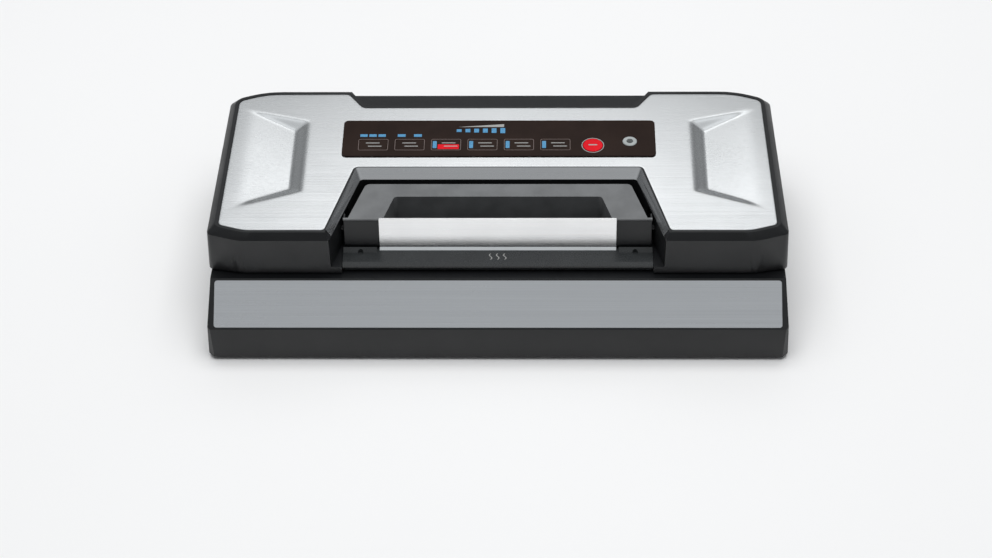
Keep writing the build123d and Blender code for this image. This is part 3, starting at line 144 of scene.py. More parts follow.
# ---------------------------------------------------------------- node materials
class Surface:
    """One procedural material, built node by node round a Principled shader."""

    def __init__(self, name, colour, roughness, metallic=0.0):
        self.material = bpy.data.materials.new(name)
        self.material.use_nodes = True
        self.tree = self.material.node_tree
        self.shader = self.tree.nodes["Principled BSDF"]
        self.shader.inputs["Base Color"].default_value = (*colour, 1.0)
        self.shader.inputs["Roughness"].default_value = roughness
        self.shader.inputs["Metallic"].default_value = metallic
        self.height = None

    def link(self, source, target):
        self.tree.links.new(source, target)

    def constant(self, socket, value):
        """A number on the shader's own socket."""
        self.shader.inputs[socket].default_value = value
        return self

    def place(self, scale, turn=(0.0, 0.0, 0.0)):
        """Position in the machine's frame, scaled per axis (cells per metre)."""
        coords = self.tree.nodes.new("ShaderNodeTexCoord")
        mapping = self.tree.nodes.new("ShaderNodeMapping")
        mapping.inputs["Scale"].default_value = scale
        mapping.inputs["Rotation"].default_value = turn
        self.link(coords.outputs["Object"], mapping.inputs["Vector"])
        return mapping.outputs["Vector"]

    def noise(self, scale, detail=3.0, roughness=0.5, turn=(0.0, 0.0, 0.0)):
        """Noise with that many cells per metre along each axis."""
        if isinstance(scale, (int, float)):
            scale = (scale, scale, scale)
        node = self.tree.nodes.new("ShaderNodeTexNoise")
        node.inputs["Scale"].default_value = 1.0
        node.inputs["Detail"].default_value = detail
        node.inputs["Roughness"].default_value = roughness
        self.link(self.place(scale, turn), node.inputs["Vector"])
        return node.outputs["Fac"]

    def cells(self, scale, feature="F1"):
        """Cell pattern with that many cells per metre."""
        node = self.tree.nodes.new("ShaderNodeTexVoronoi")
        node.feature = feature
        node.inputs["Scale"].default_value = 1.0
        self.link(self.place((scale, scale, scale)), node.inputs["Vector"])
        return node.outputs["Distance"]

    def waves(self, direction, pitch, turn=(0.0, 0.0, 0.0), distortion=0.0):
        """Parallel bands, one per pitch in metres."""
        node = self.tree.nodes.new("ShaderNodeTexWave")
        node.bands_direction = direction
        node.inputs["Scale"].default_value = 1.0
        node.inputs["Distortion"].default_value = distortion
        cells = math.pi / 10.0 / pitch
        self.link(self.place((cells, cells, cells), turn), node.inputs["Vector"])
        return node.outputs["Fac"]

    def spread(self, value, low, high, start=0.3, end=0.7):
        """A 0 to 1 pattern stretched to run from low to high."""
        node = self.tree.nodes.new("ShaderNodeMapRange")
        node.inputs["From Min"].default_value = start
        node.inputs["From Max"].default_value = end
        node.inputs["To Min"].default_value = low
        node.inputs["To Max"].default_value = high
        self.link(value, node.inputs["Value"])
        return node.outputs["Result"]

    def combine(self, operation, first, second):
        """Arithmetic on two patterns, or on a pattern and a number."""
        node = self.tree.nodes.new("ShaderNodeMath")
        node.operation = operation
        for socket, value in zip(node.inputs, (first, second)):
            if isinstance(value, (int, float)):
                socket.default_value = value
            else:
                self.link(value, socket)
        return node.outputs["Value"]

    def blend(self, factor, first, second):
        """Colour between two colours, each a triple or a socket."""
        node = self.tree.nodes.new("ShaderNodeMix")
        node.data_type = "RGBA"
        self.link(factor, node.inputs["Factor"])
        for socket, value in ((node.inputs[6], first), (node.inputs[7], second)):
            if isinstance(value, tuple):
                socket.default_value = (*value, 1.0)
            else:
                self.link(value, socket)
        return node.outputs[2]

    def edges(self, low=0.52, high=0.6):
        """Mask of the convex edges."""
        node = self.tree.nodes.new("ShaderNodeNewGeometry")
        return self.spread(node.outputs["Pointiness"], 0.0, 1.0, low, high)

    def colour(self, socket):
        self.link(socket, self.shader.inputs["Base Color"])
        return self

    def roughness(self, socket):
        self.link(socket, self.shader.inputs["Roughness"])
        return self

    def bump(self, height, depth, strength=1.0):
        """Fine relief of the given depth in metres, over any relief so far."""
        node = self.tree.nodes.new("ShaderNodeBump")
        node.inputs["Strength"].default_value = strength
        node.inputs["Distance"].default_value = depth
        self.link(height, node.inputs["Height"])
        if self.height is not None:
            self.link(self.height, node.inputs["Normal"])
        self.height = node.outputs["Normal"]
        self.link(self.height, self.shader.inputs["Normal"])
        return self


def shade(colour, factor):
    return tuple(channel * factor for channel in colour)


def moulded(name, colour, roughness=0.42, grain=1500.0, depth=0.00004, edge_wear_and_highlight=1.35):
    """Spark-textured moulded plastic: fine grain, faint flow marks, and convex edges made paler in
    patches, partly worn plastic and partly a painted edge highlight.
    """
    s = Surface(name, colour, roughness)
    flow = s.noise((9.0, 16.0, 12.0), detail=4.0)
    base = s.blend(s.spread(flow, 0.0, 1.0), shade(colour, 0.92), shade(colour, 1.10))
    # Paler convex edges in patches: partly worn plastic, partly a painted edge highlight.
    worn_and_highlit_edges = s.combine("MULTIPLY", s.edges(), s.spread(s.noise(70.0), 0.2, 1.0, 0.35, 0.65))
    s.colour(s.blend(worn_and_highlit_edges, base, shade(colour, edge_wear_and_highlight)))
    speckle = s.noise(grain, detail=2.0, roughness=0.6)
    smudge = s.noise(22.0, detail=5.0, roughness=0.62)
    fine = s.spread(speckle, -0.04, 0.04)
    s.roughness(s.combine("ADD", s.spread(smudge, roughness - 0.05, roughness + 0.07), fine))
    s.bump(speckle, depth, 0.6)
    return s


def brushed(name, colour, roughness=0.28, along="X", depth=0.00002, contrast=0.06, coarse=260.0):
    """Brushed stainless steel with its grain along one axis."""
    s = Surface(name, colour, roughness, metallic=1.0)
    fine, thin = 5200.0, 1700.0
    long = {"X": (14.0, fine, fine), "Y": (fine, 14.0, fine)}[along]
    mid = {"X": (5.0, thin, thin), "Y": (thin, 5.0, thin)}[along]
    wide = {"X": (2.0, coarse, coarse), "Y": (coarse, 2.0, coarse)}[along]
    hair = s.noise(long, detail=3.0, roughness=0.65)
    lines = s.noise(mid, detail=3.0, roughness=0.6)
    bands = s.noise(wide, detail=2.0)
    mixed = s.combine("ADD", s.combine("MULTIPLY", lines, 0.6), s.combine("MULTIPLY", bands, 0.4))
    tone = s.spread(mixed, 0.0, 1.0, 0.36, 0.64)
    s.colour(s.blend(tone, shade(colour, 1.0 - contrast), shade(colour, 1.0 + contrast)))
    smudge = s.noise(14.0, detail=6.0, roughness=0.6)
    grain = s.spread(lines, -0.05, 0.05)
    s.roughness(s.combine("ADD", s.spread(smudge, roughness - 0.02, roughness + 0.05), grain))
    s.bump(hair, depth, 0.5)
    s.bump(lines, depth * 1.5, 0.5)
    return s


def plain_metal(name, colour, roughness=0.3, grain=900.0):
    """Turned, drawn or plated metal with light handling marks."""
    s = Surface(name, colour, roughness, metallic=1.0)
    tone = s.noise(120.0, detail=5.0, roughness=0.6)
    s.colour(s.blend(s.spread(tone, 0.0, 1.0), shade(colour, 0.86), shade(colour, 1.08)))
    fine = s.noise(grain, detail=3.0)
    s.roughness(s.spread(fine, roughness - 0.08, roughness + 0.12))
    s.bump(fine, 0.00003, 0.4)
    return s


def rubber(name, colour, roughness=0.72, grain=2600.0):
    """Soft rubber or foam: matt, slightly dusty in its hollows."""
    s = Surface(name, colour, roughness)
    dust = s.noise(60.0, detail=5.0, roughness=0.65)
    s.colour(s.blend(s.spread(dust, 0.0, 1.0, 0.42, 0.72), colour, shade(colour, 1.5)))
    pores = s.noise(grain, detail=2.0, roughness=0.7)
    s.roughness(s.spread(pores, roughness - 0.08, roughness + 0.1))
    s.bump(pores, 0.00006, 0.7)
    s.constant("Specular IOR Level", 0.35)
    return s


def gloss(name, colour, roughness=0.12, tint=1.25):
    """Glossy hard coat with fingerprints and faint orange peel."""
    s = Surface(name, colour, roughness)
    cloud = s.noise(45.0, detail=3.0)
    s.colour(s.blend(s.spread(cloud, 0.0, 1.0), shade(colour, 0.9), shade(colour, tint)))
    prints = s.noise(38.0, detail=7.0, roughness=0.68)
    s.roughness(s.spread(prints, roughness - 0.01, roughness + 0.03, 0.4, 0.7))
    s.constant("Specular IOR Level", 0.05)
    s.bump(s.noise(320.0, detail=1.0), 0.00002, 0.25)
    return s


def lens(name, colour, glow, strength):
    """Clear lens over a lit lamp, glowing evenly; its colour carries a painted glow, lighter in the
    middle of its diffuser's cells.
    """
    s = Surface(name, colour, 0.18)
    glow_and_relief_cells = s.cells(1400.0)
    # Painted glow: colour lighter in the middle of each diffuser cell, darker at its edge.
    s.colour(s.blend(s.spread(glow_and_relief_cells, 0.0, 1.0, 0.1, 0.7), shade(colour, 1.3), shade(colour, 0.7)))
    s.shader.inputs["Emission Color"].default_value = (*glow, 1.0)
    s.shader.inputs["Emission Strength"].default_value = strength
    s.roughness(s.spread(s.noise(500.0), 0.12, 0.26))
    s.bump(glow_and_relief_cells, 0.00003, 0.4)
    return s


def print_ink(name, colour):
    """Screen-printed ink, a little uneven where the mesh of the screen shows."""
    s = Surface(name, colour, 0.35)
    screen = s.cells(5200.0)
    s.colour(s.blend(s.spread(screen, 0.0, 1.0, 0.2, 0.7), shade(colour, 1.12), shade(colour, 0.85)))
    s.roughness(s.spread(s.noise(420.0), 0.28, 0.45))
    s.bump(screen, 0.00001, 0.3)
    return s


def glass_cloth(name, colour):
    """Coated glass cloth: a plain weave."""
    s = Surface(name, colour, 0.5)
    warp = s.waves("X", 0.0007)
    weft = s.waves("Y", 0.0007)
    weave = s.combine("MULTIPLY", warp, weft)
    s.colour(s.blend(weave, shade(colour, 0.7), shade(colour, 1.25)))
    s.roughness(s.spread(s.noise(80.0, detail=5.0), 0.38, 0.6))
    s.bump(weave, 0.00005, 0.7)
    return s


def laminations(name, colour):
    """Stack of varnished steel sheets."""
    s = Surface(name, colour, 0.45, metallic=0.6)
    sheets = s.waves("Z", 0.0009, distortion=0.4)
    s.colour(s.blend(sheets, shade(colour, 0.55), shade(colour, 1.3)))
    s.roughness(s.spread(s.noise(90.0, detail=4.0), 0.35, 0.6))
    s.bump(sheets, 0.0001, 0.6)
    return s


def winding(name, colour):
    """Varnished copper turns side by side."""
    s = Surface(name, colour, 0.32, metallic=0.75)
    turns = s.waves("Y", 0.0011, distortion=0.6)
    s.colour(s.blend(turns, shade(colour, 0.45), shade(colour, 1.35)))
    s.roughness(s.spread(s.noise(150.0, detail=4.0), 0.22, 0.42))
    s.bump(turns, 0.0002, 0.8)
    return s


def circuit_board(name, colour):
    """Solder resist over copper tracks, with tinned pads."""
    s = Surface(name, colour, 0.35)
    tracks = s.combine("GREATER_THAN", s.waves("DIAGONAL", 0.0026, distortion=5.0), 0.62)
    resist = s.blend(tracks, shade(colour, 0.8), shade(colour, 1.6))
    pads = s.combine("LESS_THAN", s.cells(210.0), 0.22)
    s.colour(s.blend(pads, resist, (0.62, 0.60, 0.55)))
    s.roughness(s.spread(s.noise(200.0), 0.28, 0.48))
    s.bump(tracks, 0.00004, 0.6)
    return s


def soft_tube(name, colour):
    """Milky silicone tube."""
    s = Surface(name, colour, 0.4)
    s.shader.inputs["Subsurface Weight"].default_value = 0.3
    s.shader.inputs["Subsurface Radius"].default_value = (0.004, 0.004, 0.004)
    haze = s.noise(90.0, detail=4.0)
    s.colour(s.blend(s.spread(haze, 0.0, 1.0), shade(colour, 0.88), shade(colour, 1.05)))
    s.roughness(s.spread(haze, 0.32, 0.5))
    s.bump(s.noise((600.0, 600.0, 60.0)), 0.00004, 0.4)
    return s


def pale_floor(name):
    """Pale matt studio floor."""
    colour = (0.86, 0.86, 0.86)
    s = Surface(name, colour, 0.6)
    cloud = s.noise(1.3, detail=3.0)
    s.colour(s.blend(s.spread(cloud, 0.0, 1.0), shade(colour, 0.985), shade(colour, 1.01)))
    s.roughness(s.spread(s.noise(400.0), 0.5, 0.7))
    s.bump(s.noise(900.0), 0.00005, 0.2)
    return s


def make_materials():
    """One material for each of the record's slots."""
    made = [
        moulded("lid_plastic", (0.0088, 0.0094, 0.0104), 0.40),
        moulded("base_plastic", (0.0055, 0.0060, 0.0068), 0.42),
        brushed("brushed_skin", (0.85, 0.87, 0.88), 0.23, depth=0.000004, contrast=0.008, coarse=60.0),
        brushed("brushed_trim", (0.62, 0.64, 0.66), 0.30, contrast=0.05),
        brushed("brushed_bar", (0.98, 0.985, 0.99), 0.32, contrast=0.05),
        brushed("brushed_edge", (0.60, 0.61, 0.62), 0.26, depth=0.000004, contrast=0.03),
        brushed("brushed_strip", (0.60, 0.62, 0.63), 0.34, contrast=0.05),
        moulded("handle_plastic", (0.115, 0.119, 0.122), 0.38),
        moulded("cap_plastic", (0.0078, 0.0086, 0.0098), 0.36),
        moulded("lip_plastic", (0.020, 0.022, 0.023), 0.26, depth=0.00002),
        gloss("panel_gloss", (0.018, 0.0108, 0.0086), 0.16),
        gloss("key_gloss", (0.020, 0.0120, 0.0094), 0.18),
        gloss("key_red", (0.62, 0.010, 0.018), 0.2, tint=1.1),
        lens("blue_lens", (0.05, 0.20, 0.36), (0.04, 0.22, 0.42), 0.35),
        rubber("port_rubber", (0.30, 0.32, 0.32), 0.5),
        rubber("soft_gasket", (0.018, 0.018, 0.019), 0.85, grain=3200.0),
        rubber("seal_rubber", (0.26, 0.045, 0.035), 0.55),
        rubber("foot_rubber", (0.02, 0.02, 0.02), 0.8),
        moulded("tray_plastic", (0.06, 0.063, 0.067), 0.45),
        plain_metal("plain_steel", (0.56, 0.56, 0.57), 0.28),
        plain_metal("black_steel", (0.05, 0.05, 0.052), 0.4),
        plain_metal("zinc_steel", (0.55, 0.56, 0.58), 0.4, grain=300.0),
        plain_metal("screw_steel", (0.45, 0.45, 0.47), 0.3),
        brushed("bar_aluminium", (0.78, 0.78, 0.79), 0.34),
        brushed("ribbon_metal", (0.45, 0.42, 0.38), 0.36),
        glass_cloth("tape", (0.40, 0.27, 0.15)),
        laminations("core_steel", (0.18, 0.18, 0.19)),
        winding("coil_copper", (0.62, 0.26, 0.11)),
        circuit_board("board_green", (0.02, 0.13, 0.05)),
        moulded("pump_plastic", (0.05, 0.05, 0.055), 0.4),
        soft_tube("tube_silicone", (0.72, 0.73, 0.71)),
        moulded("inlet_plastic", (0.012, 0.012, 0.0125), 0.38),
        print_ink("outline_ink", (0.16, 0.12, 0.11)),
        print_ink("label_ink", (0.34, 0.34, 0.33)),
    ]
    return {s.material.name.split(".")[0]: s.material for s in made}


def slot_of(node):
    """The record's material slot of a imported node."""
    return NODES[node].material_slots[0].material.name.split(".")[0]


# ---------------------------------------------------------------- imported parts
OWN_LOOKS = {"lip_strip": "brushed_strip"}
EDGE_ROUNDING = {
    "lid_housing": 0.5,
    "base_housing": 0.5,
    "bottom_cover": 0.3,
    "handle_frame": 0.5,
    "end_cap_left": 0.6,
    "end_cap_right": 0.6,
    "grip_bar": 0.15,
    "front_lip": 0.35,
    "lip_strip": 0.2,
    "vacuum_trough": 0.3,
    "control_panel": 0.12,
    "ledge_trim_strip": 0.15,
    "power_inlet": 0.3,
    "drip_tray": 0.3,
    "lid_underside": 0.3,
    "pump_head": 0.5,
    "accessory_port": 0.15,
    "latch_hooks": 0.3,
    "transformer_core": 0.3,
    "power_board": 0.25,
}
EDGE_ROUNDING.update({f"key_{number}": 0.12 for number in range(1, 7)})


def finish_node(node, material, rounding):
    """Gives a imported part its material, and rounds its sharp edges."""
    part = NODES[node]
    for slot in part.material_slots:
        slot.material = material
    weld = part.modifiers.new("weld", "WELD")
    weld.merge_threshold = 0.002 * MM
    if rounding:
        bevel = part.modifiers.new("edges", "BEVEL")
        bevel.width = rounding * MM
        bevel.segments = 3
        bevel.limit_method = "ANGLE"
        bevel.angle_limit = math.radians(28.0)
        bevel.harden_normals = True
        bevel.use_clamp_overlap = True


def add_piece(name, bm, material_name, body, smooth=True):
    """Turns a bmesh in the machine's frame into a piece that rides on a body."""
    mesh = bpy.data.meshes.new(name)
    bmesh.ops.recalc_face_normals(bm, faces=bm.faces)
    for face in bm.faces:
        face.smooth = smooth
    bm.to_mesh(mesh)
    bm.free()
    piece = bpy.data.objects.new(name, mesh)
    bpy.context.scene.collection.objects.link(piece)
    mesh.materials.append(MATERIALS[material_name])
    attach(piece, body)
    return piece


MATERIALS = make_materials()


# ---------------------------------------------------------------- steel skin of the lid
PLATE_TOP = 88.0
PLATE_SEAT = 87.2
SCOOP_OUTER = 180.3
SCOOP_TOP = 140.0
SCOOP_FOOT = 148.7
SCOOP_OUTER_ENDS = (-30.5, 71.6)
SCOOP_TOP_ENDS = (-15.5, 60.4)
SCOOP_FOOT_ENDS = (-10.6, 55.8)
SCOOP_DEPTH = 5.0
SCOOP_SOFTNESS = 0.42
CROWN = 0.45
PLATE_HALF_WIDTH = 195.0
PLATE_FRONT = -60.0
PLATE_LENGTH = 152.0
GRID_START = (-200, -62)
GRID_SIZE = (400, 160)
CLEAR_OF_RIM = 0.7
PLATE_MESH = 1.25
LEAST_SIDE = 0.45
LEAST_TRIANGLE = 0.02
RIM = [(0.9, 0.0), (0.40, 0.02), (0.12, 0.10), (0.0, 0.36), (0.0, 0.62), (0.2, 0.8)]


def flat_loops(node, height):
    """Closed outlines, in millimetres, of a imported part's flat faces at one height."""
    mesh = NODES[node].data
    sides = set()
    for face in mesh.polygons:
        corners = [mesh.vertices[i].co / MM for i in face.vertices]
        if all(abs(corner.z - height) < 0.005 for corner in corners):
            ring = [(round(corner.x, 3), round(corner.y, 3)) for corner in corners]
            sides.update(zip(ring, ring[1:] + ring[:1]))
    border = {start: end for start, end in sides if (end, start) not in sides}
    loops = []
    while border:
        start, point = border.popitem()
        loop = [start]
        while point != start:
            loop.append(point)
            point = border.pop(point)
        loops.append(loop)
    return loops


def plane_through(a, b, c):
    """Depth below the plate, as a linear function of X and Y, of a plane through three points."""
    normal = (Vector(b) - Vector(a)).cross(Vector(c) - Vector(a))
    return lambda x, y: ((x - a[0]) * normal.x + (y - a[1]) * normal.y) / normal.z - a[2]


def scoop_planes():
    """Ramp, inner wall and two end walls of the right-hand scoop."""
    corners = {}
    for name, x, ends, z in (
        ("outer", SCOOP_OUTER, SCOOP_OUTER_ENDS, 0.0),
        ("top", SCOOP_TOP, SCOOP_TOP_ENDS, 0.0),
        ("foot", SCOOP_FOOT, SCOOP_FOOT_ENDS, -SCOOP_DEPTH),
    ):
        corners[name] = [(x, y, z) for y in ends]
    outer, top, foot = corners["outer"], corners["top"], corners["foot"]
    return [
        plane_through(outer[0], outer[1], foot[0]),
        plane_through(top[0], top[1], foot[0]),
        plane_through(outer[0], top[0], foot[0]),
        plane_through(outer[1], top[1], foot[1]),
    ]


SCOOP_PLANES = scoop_planes()


def scoop_depth(x, y):
    """Depth of either scoop, with softly pressed edges."""
    depths = [plane(abs(x), y) / SCOOP_SOFTNESS for plane in SCOOP_PLANES]
    low = min(depths)
    if low < -9.0:
        return 0.0
    soft = low - math.log(sum(math.exp(low - depth) for depth in depths))
    return min(SCOOP_SOFTNESS * math.log1p(math.exp(min(soft, 60.0))), SCOOP_DEPTH)


def crown_drop(x, y):
    """The skin falls away slightly towards its rear corners."""
    across = min(abs(x) / PLATE_HALF_WIDTH, 1.0)
    back = min(max((y - PLATE_FRONT) / PLATE_LENGTH, 0.0), 1.0)
    return CROWN * across ** 4 * (0.35 + 0.65 * back ** 2)


def inset_loop(loop, amount):
    """Loop moved to its left, into the sheet."""
    moved = []
    for before, here, after in zip(loop[-1:] + loop[:-1], loop, loop[1:] + loop[:1]):
        along_in = (Vector(here) - Vector(before)).normalized()
        along_out = (Vector(after) - Vector(here)).normalized()
        middle = (along_in + along_out).normalized()
        reach = amount / max(middle.dot(along_out), 0.3)
        moved.append((here[0] - middle.y * reach, here[1] + middle.x * reach))
    return moved


def thinned(loop, least):
    """Loop without the points that crowd the one before them."""
    kept = [loop[0]]
    for point in loop[1:]:
        if math.dist(point, kept[-1]) >= least and math.dist(point, loop[0]) >= least:
            kept.append(point)
    return kept


def divided(loop, step):
    """Loop with extra points on its long straights."""
    points = []
    for start, end in zip(loop, loop[1:] + loop[:1]):
        count = max(1, round(math.dist(start, end) / step))
        for part in range(count):
            share = part / count
            along = (end[0] - start[0]) * share, (end[1] - start[1]) * share
            points.append((start[0] + along[0], start[1] + along[1]))
    return points


def inside(point, loop):
    """Whether a point lies in a closed loop."""
    x, y = point
    crossings = 0
    for (x1, y1), (x2, y2) in zip(loop, loop[1:] + loop[:1]):
        if (y1 > y) != (y2 > y) and x < x1 + (y - y1) * (x2 - x1) / (y2 - y1):
            crossings += 1
    return crossings % 2 == 1


def distance_to(point, loop):
    """Distance from a point to a loop's nearest corner point."""
    return min(math.dist(point, corner) for corner in loop)


def span(loop):
    """Width of a loop across the machine."""
    return max(x for x, _ in loop) - min(x for x, _ in loop)


def make_steel_skin():
    """The lid's steel skin as one sheet: pressed scoops, rolled rim and panel window."""
    loops = sorted(flat_loops("lid_top_plate", PLATE_TOP), key=span, reverse=True)[:2]
    loops = [divided(thinned(loop, LEAST_SIDE), PLATE_MESH) for loop in loops]
    edge_loops = [inset_loop(loop, RIM[0][0]) for loop in loops]
    flat = [point for loop in edge_loops for point in loop]
    sides = []
    first = 0
    for loop in edge_loops:
        sides += [(first + i, first + (i + 1) % len(loop)) for i in range(len(loop))]
        first += len(loop)
    rim_count = len(flat)
    columns = int(GRID_SIZE[0] / PLATE_MESH)
    rows = int(GRID_SIZE[1] / PLATE_MESH)
    for column in range(columns + 1):
        for row in range(rows + 1):
            point = (GRID_START[0] + column * PLATE_MESH, GRID_START[1] + row * PLATE_MESH)
            if inside(point, edge_loops[0]) and not inside(point, edge_loops[1]):
                if distance_to(point, flat[:rim_count]) > PLATE_MESH * CLEAR_OF_RIM:
                    flat.append(point)
    result = geometry.delaunay_2d_cdt([Vector(point) for point in flat], sides, [], 0, 1e-5)
    points, triangles, sources = result[0], result[2], result[3]
    kept = []
    for triangle in triangles:
        centre = sum((points[i] for i in triangle), Vector((0, 0))) / 3
        a, b, c = (points[i] for i in triangle)
        sliver = abs((b - a).cross(c - a)) < LEAST_TRIANGLE
        if not sliver and inside(centre, edge_loops[0]) and not inside(centre, edge_loops[1]):
            kept.append(triangle)
    bm = bmesh.new()

    def add_point(x, y, drop):
        top = PLATE_TOP - scoop_depth(x, y) - crown_drop(x, y)
        foot = PLATE_SEAT - scoop_depth(x, y)
        return bm.verts.new(Vector((x, y, top + (foot - top) * drop / RIM[-1][1])) * MM)

    upper = [add_point(x, y, 0.0) for x, y in points]
    lower = [add_point(x, y, RIM[-1][1]) for x, y in points]
    for a, b, c in kept:
        bm.faces.new((upper[a], upper[b], upper[c]))
        bm.faces.new((lower[c], lower[b], lower[a]))
    place_of = {source: index for index, found in enumerate(sources) for source in found}
    first = 0
    for loop in loops:
        numbers = [place_of[first + i] for i in range(len(loop))]
        rings = [[upper[i] for i in numbers]]
        for shift, drop in RIM[1:-1]:
            rings.append([add_point(x, y, drop) for x, y in inset_loop(loop, shift)])
        rings.append([lower[i] for i in numbers])
        for high, low in zip(rings, rings[1:]):
            for i in range(len(loop)):
                j = (i + 1) % len(loop)
                bm.faces.new((high[i], low[i], low[j], high[j]))
        first += len(loop)
    skin = add_piece("steel_skin", bm, "brushed_skin", "lid")
    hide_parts("lid_top_plate")


# ---------------------------------------------------------------- turned-down edge round the pocket
FLANGE_TOP = [(119.4, -57.6), (101.9, 8.5)]
FLANGE_FOOT = [(115.92, -57.6), (98.7, 2.2)]
FLANGE_HEIGHTS = (88.0, 82.05)
FLANGE_CORNER = 3.0
FLANGE_LIFT = 0.35


def rounded_path(points, radius, steps=6):
    """Open path with its inner corners rounded."""
    path = [Vector(points[0])]
    for before, here, after in zip(points, points[1:], points[2:]):
        back = (Vector(before) - Vector(here)).normalized()
        on = (Vector(after) - Vector(here)).normalized()
        cut = radius / math.tan(back.angle(on) / 2)
        start, end = Vector(here) + back * cut, Vector(here) + on * cut
        for step in range(steps + 1):
            t = step / steps
            path.append(start * (1 - t) ** 2 + Vector(here) * 2 * t * (1 - t) + end * t * t)
    path.append(Vector(points[-1]))
    return path


def make_pocket_flange():
    """Steel edge folded down round the handle pocket."""
    top = rounded_path(FLANGE_TOP + [(-x, y) for x, y in reversed(FLANGE_TOP)], FLANGE_CORNER)
    foot = rounded_path(FLANGE_FOOT + [(-x, y) for x, y in reversed(FLANGE_FOOT)], FLANGE_CORNER)
    bm = bmesh.new()
    rows = []
    upper_side = [(share, FLANGE_LIFT) for share in (0.0, 0.5, 1.0)]
    for share, lift in [(0.0, 0.0), *upper_side, (1.0, 0.0)]:
        row = []
        for high, low in zip(top, foot):
            x, y = high * (1 - share) + low * share
            z = FLANGE_HEIGHTS[0] + (FLANGE_HEIGHTS[1] - FLANGE_HEIGHTS[0]) * share
            row.append(bm.verts.new(Vector((x, y, z + lift)) * MM))
        rows.append(row)
    for upper, lower in zip(rows, rows[1:] + rows[:1]):
        for i in range(len(top) - 1):
            bm.faces.new((upper[i], upper[i + 1], lower[i + 1], lower[i]))
    for end in (0, -1):
        bm.faces.new([row[end] for row in rows])
    flange = add_piece("pocket_flange", bm, "brushed_edge", "lid", smooth=False)


# ---------------------------------------------------------------- printed marks and key windows
PANEL_TOP = 88.9
INK = 0.05
KEY_SIZE = (20.6, 11.4)
KEY_FIRST = -90.8
KEY_PITCH = 26.34
KEY_Y = 33.1
KEY_COUNT = 6
PULSE = (67.9, 32.2)
PULSE_TOP = 89.4


WEDGE = [(-29.8, 52.9), (3.6, 52.9), (3.6, 56.1)]
LIP_EDGES = ((-46.9, 58.6), (-57.8, 57.6))
WAVE_PITCH = 5.0
WAVE_STEPS = 12
WAVE_FOOT_Y = -55.6
WAVE_LENGTH = 5.6
WAVE_SWING = 0.9
WAVE_HALF_WIDTH = 0.35
WAVE_LIFTS = (0.02, 0.08)
FLOOR_HALF = 6.0


def rounded_rectangle(x, y, corner, steps=4):
    """Outline between X and Y limits, with rounded corners, anticlockwise."""
    points = []
    for turn, (cx, cy) in enumerate((
        (x[1] - corner, y[1] - corner), (x[0] + corner, y[1] - corner),
        (x[0] + corner, y[0] + corner), (x[1] - corner, y[0] + corner),
    )):
        for step in range(steps + 1):
            angle = math.radians(90 * (turn + step / steps))
            points.append((cx + corner * math.cos(angle), cy + corner * math.sin(angle)))
    return points


def circle(centre, radius, count=48):
    """Round outline."""
    angles = [2 * math.pi * i / count for i in range(count)]
    return [(centre[0] + radius * math.cos(a), centre[1] + radius * math.sin(a)) for a in angles]


def add_pad(bm, outline, low, high):
    """Thin closed prism over an outline."""
    under = [bm.verts.new(Vector((x, y, low)) * MM) for x, y in outline]
    over = [bm.verts.new(Vector((x, y, high)) * MM) for x, y in outline]
    bm.faces.new(over)
    bm.faces.new(under[::-1])
    for i in range(len(outline)):
        j = (i + 1) % len(outline)
        bm.faces.new((under[i], under[j], over[j], over[i]))


def add_band(bm, outer, inner, low, high):
    """Thin closed ring between two outlines with as many points."""
    rings = []
    for outline, z in ((outer, low), (outer, high), (inner, high), (inner, low)):
        rings.append([bm.verts.new(Vector((x, y, z)) * MM) for x, y in outline])
    for ring, following in zip(rings, rings[1:] + rings[:1]):
        for i in range(len(outer)):
            j = (i + 1) % len(outer)
            bm.faces.new((ring[i], ring[j], following[j], following[i]))


def around(centre, size, grow):
    """X and Y limits of a rectangle about a centre, grown on every side."""
    half_x, half_y = size[0] / 2 + grow, size[1] / 2 + grow
    return (centre[0] - half_x, centre[0] + half_x), (centre[1] - half_y, centre[1] + half_y)


def make_outlines():
    """Printed frames round the keys."""
    bm = bmesh.new()
    for number in range(KEY_COUNT):
        centre = (KEY_FIRST + KEY_PITCH * number, KEY_Y)
        outer = rounded_rectangle(*around(centre, KEY_SIZE, 0.48), 1.28)
        inner = rounded_rectangle(*around(centre, KEY_SIZE, 0.08), 0.88)
        add_band(bm, outer, inner, PANEL_TOP, PANEL_TOP + INK)
    frames = add_piece("key_outlines", bm, "outline_ink", "lid", smooth=False)
    bm = bmesh.new()
    add_band(bm, circle(PULSE, 8.15), circle(PULSE, 7.6), PANEL_TOP, PANEL_TOP + INK)
    ring = add_piece("pulse_ring", bm, "label_ink", "lid", smooth=False)


def make_key_marks():
    """Plain dashes on the keys in place of words, and the lit windows of the last four."""
    for number in range(KEY_COUNT):
        key = f"key_{number + 1}"
        centre_x = KEY_FIRST + KEY_PITCH * number
        windowed = number >= 2
        shift = 2.2 if windowed else 0.0
        bm = bmesh.new()
        for row, (start, end) in enumerate(((-5.4, 4.6), (-3.8, 6.2))):
            y = KEY_Y + 1.9 - 3.6 * row
            x = (centre_x + shift + start, centre_x + shift + end)
            add_pad(bm, rounded_rectangle(x, (y - 0.42, y + 0.42), 0.4), PANEL_TOP, PANEL_TOP + INK)
        marks = add_piece(f"{key}_marks", bm, "label_ink", key, smooth=False)
        if windowed:
            bm = bmesh.new()
            x = (centre_x - 9.6, centre_x - 6.8)
            outline = rounded_rectangle(x, (29.2, 37.0), 0.5)
            add_pad(bm, outline, PANEL_TOP - 0.2, PANEL_TOP + 0.08)
            window = add_piece(f"{key}_window", bm, "blue_lens", key, smooth=False)
    bm = bmesh.new()
    x = (KEY_FIRST + KEY_PITCH * 2 - 6.0, KEY_FIRST + KEY_PITCH * 2 + 9.4)
    add_pad(bm, rounded_rectangle(x, (28.1, 33.4), 0.5), PANEL_TOP, PANEL_TOP + INK * 0.6)
    accent = add_piece("key_3_accent", bm, "key_red", "key_3", smooth=False)


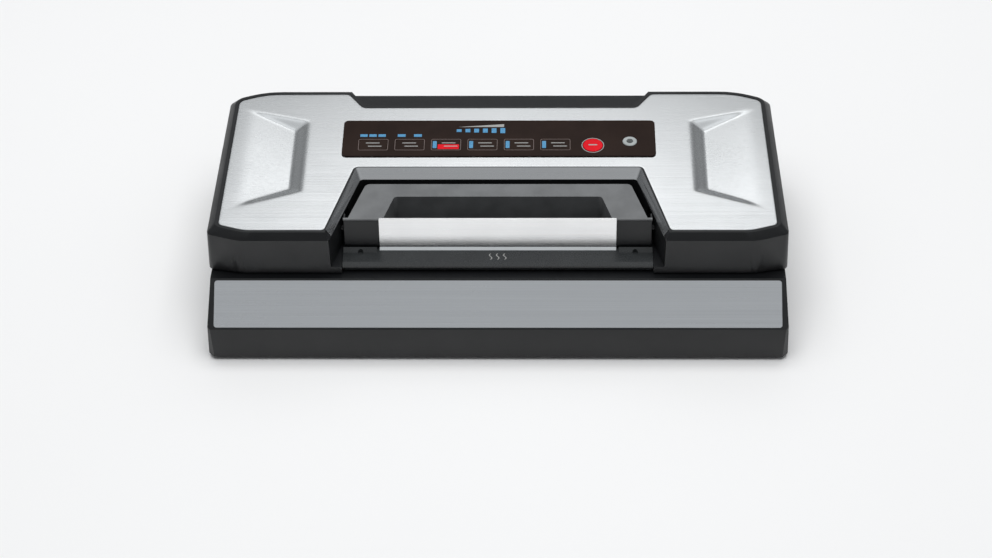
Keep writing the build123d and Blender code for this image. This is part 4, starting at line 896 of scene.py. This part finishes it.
def make_pulse_mark():
    """Plain dash on the round key."""
    bm = bmesh.new()
    x, y = around(PULSE, (6.4, 1.2), 0.0)
    add_pad(bm, rounded_rectangle(x, y, 0.5), PULSE_TOP - 0.02, PULSE_TOP + INK)
    mark = add_piece("pulse_mark", bm, "label_ink", "pulse_key", smooth=False)


def make_panel_marks():
    """Growing wedge over the progress lenses."""
    bm = bmesh.new()
    add_pad(bm, WEDGE, PANEL_TOP, PANEL_TOP + INK)
    wedge = add_piece("progress_wedge", bm, "label_ink", "lid", smooth=False)


def lip_height(y):
    """Height of the lip's upper face, between its rear and front edges."""
    (rear_y, rear_z), (front_y, front_z) = LIP_EDGES
    return rear_z + (y - rear_y) * (front_z - rear_z) / (front_y - rear_y)


def make_heat_mark():
    """Three rising waves on the lip, over the sealing line."""
    bm = bmesh.new()
    for centre in (-WAVE_PITCH, 0.0, WAVE_PITCH):
        left, right = [], []
        for step in range(WAVE_STEPS + 1):
            share = step / WAVE_STEPS
            y = WAVE_FOOT_Y + WAVE_LENGTH * share
            x = centre + WAVE_SWING * math.sin(2 * math.pi * share)
            left.append((x - WAVE_HALF_WIDTH, y))
            right.append((x + WAVE_HALF_WIDTH, y))
        outline = right + left[::-1]
        rows = []
        for lift in WAVE_LIFTS:
            rows.append([bm.verts.new(Vector((x, y, lip_height(y) + lift)) * MM) for x, y in outline])
        bm.faces.new(rows[1])
        bm.faces.new(rows[0][::-1])
        for i in range(len(outline)):
            j = (i + 1) % len(outline)
            bm.faces.new((rows[0][i], rows[0][j], rows[1][j], rows[1][i]))
    mark = add_piece("heat_mark", bm, "label_ink", "lid", smooth=False)


def make_floor():
    """Pale floor under the machine."""
    corners = [(-FLOOR_HALF, -FLOOR_HALF, 0), (FLOOR_HALF, -FLOOR_HALF, 0)]
    corners += [(FLOOR_HALF, FLOOR_HALF, 0), (-FLOOR_HALF, FLOOR_HALF, 0)]
    mesh = bpy.data.meshes.new("floor")
    mesh.from_pydata(corners, [], [(0, 1, 2, 3)])
    floor = bpy.data.objects.new("floor", mesh)
    bpy.context.scene.collection.objects.link(floor)
    mesh.materials.append(pale_floor("floor").material)


# ---------------------------------------------------------------- make everything
make_camera()
make_studio()
make_floor()

for node_name in sorted(NODES):
    look = OWN_LOOKS.get(node_name, slot_of(node_name))
    finish_node(node_name, MATERIALS[look], EDGE_ROUNDING.get(node_name, 0))

make_steel_skin()
make_pocket_flange()
make_outlines()
make_key_marks()
make_pulse_mark()
make_panel_marks()
make_heat_mark()
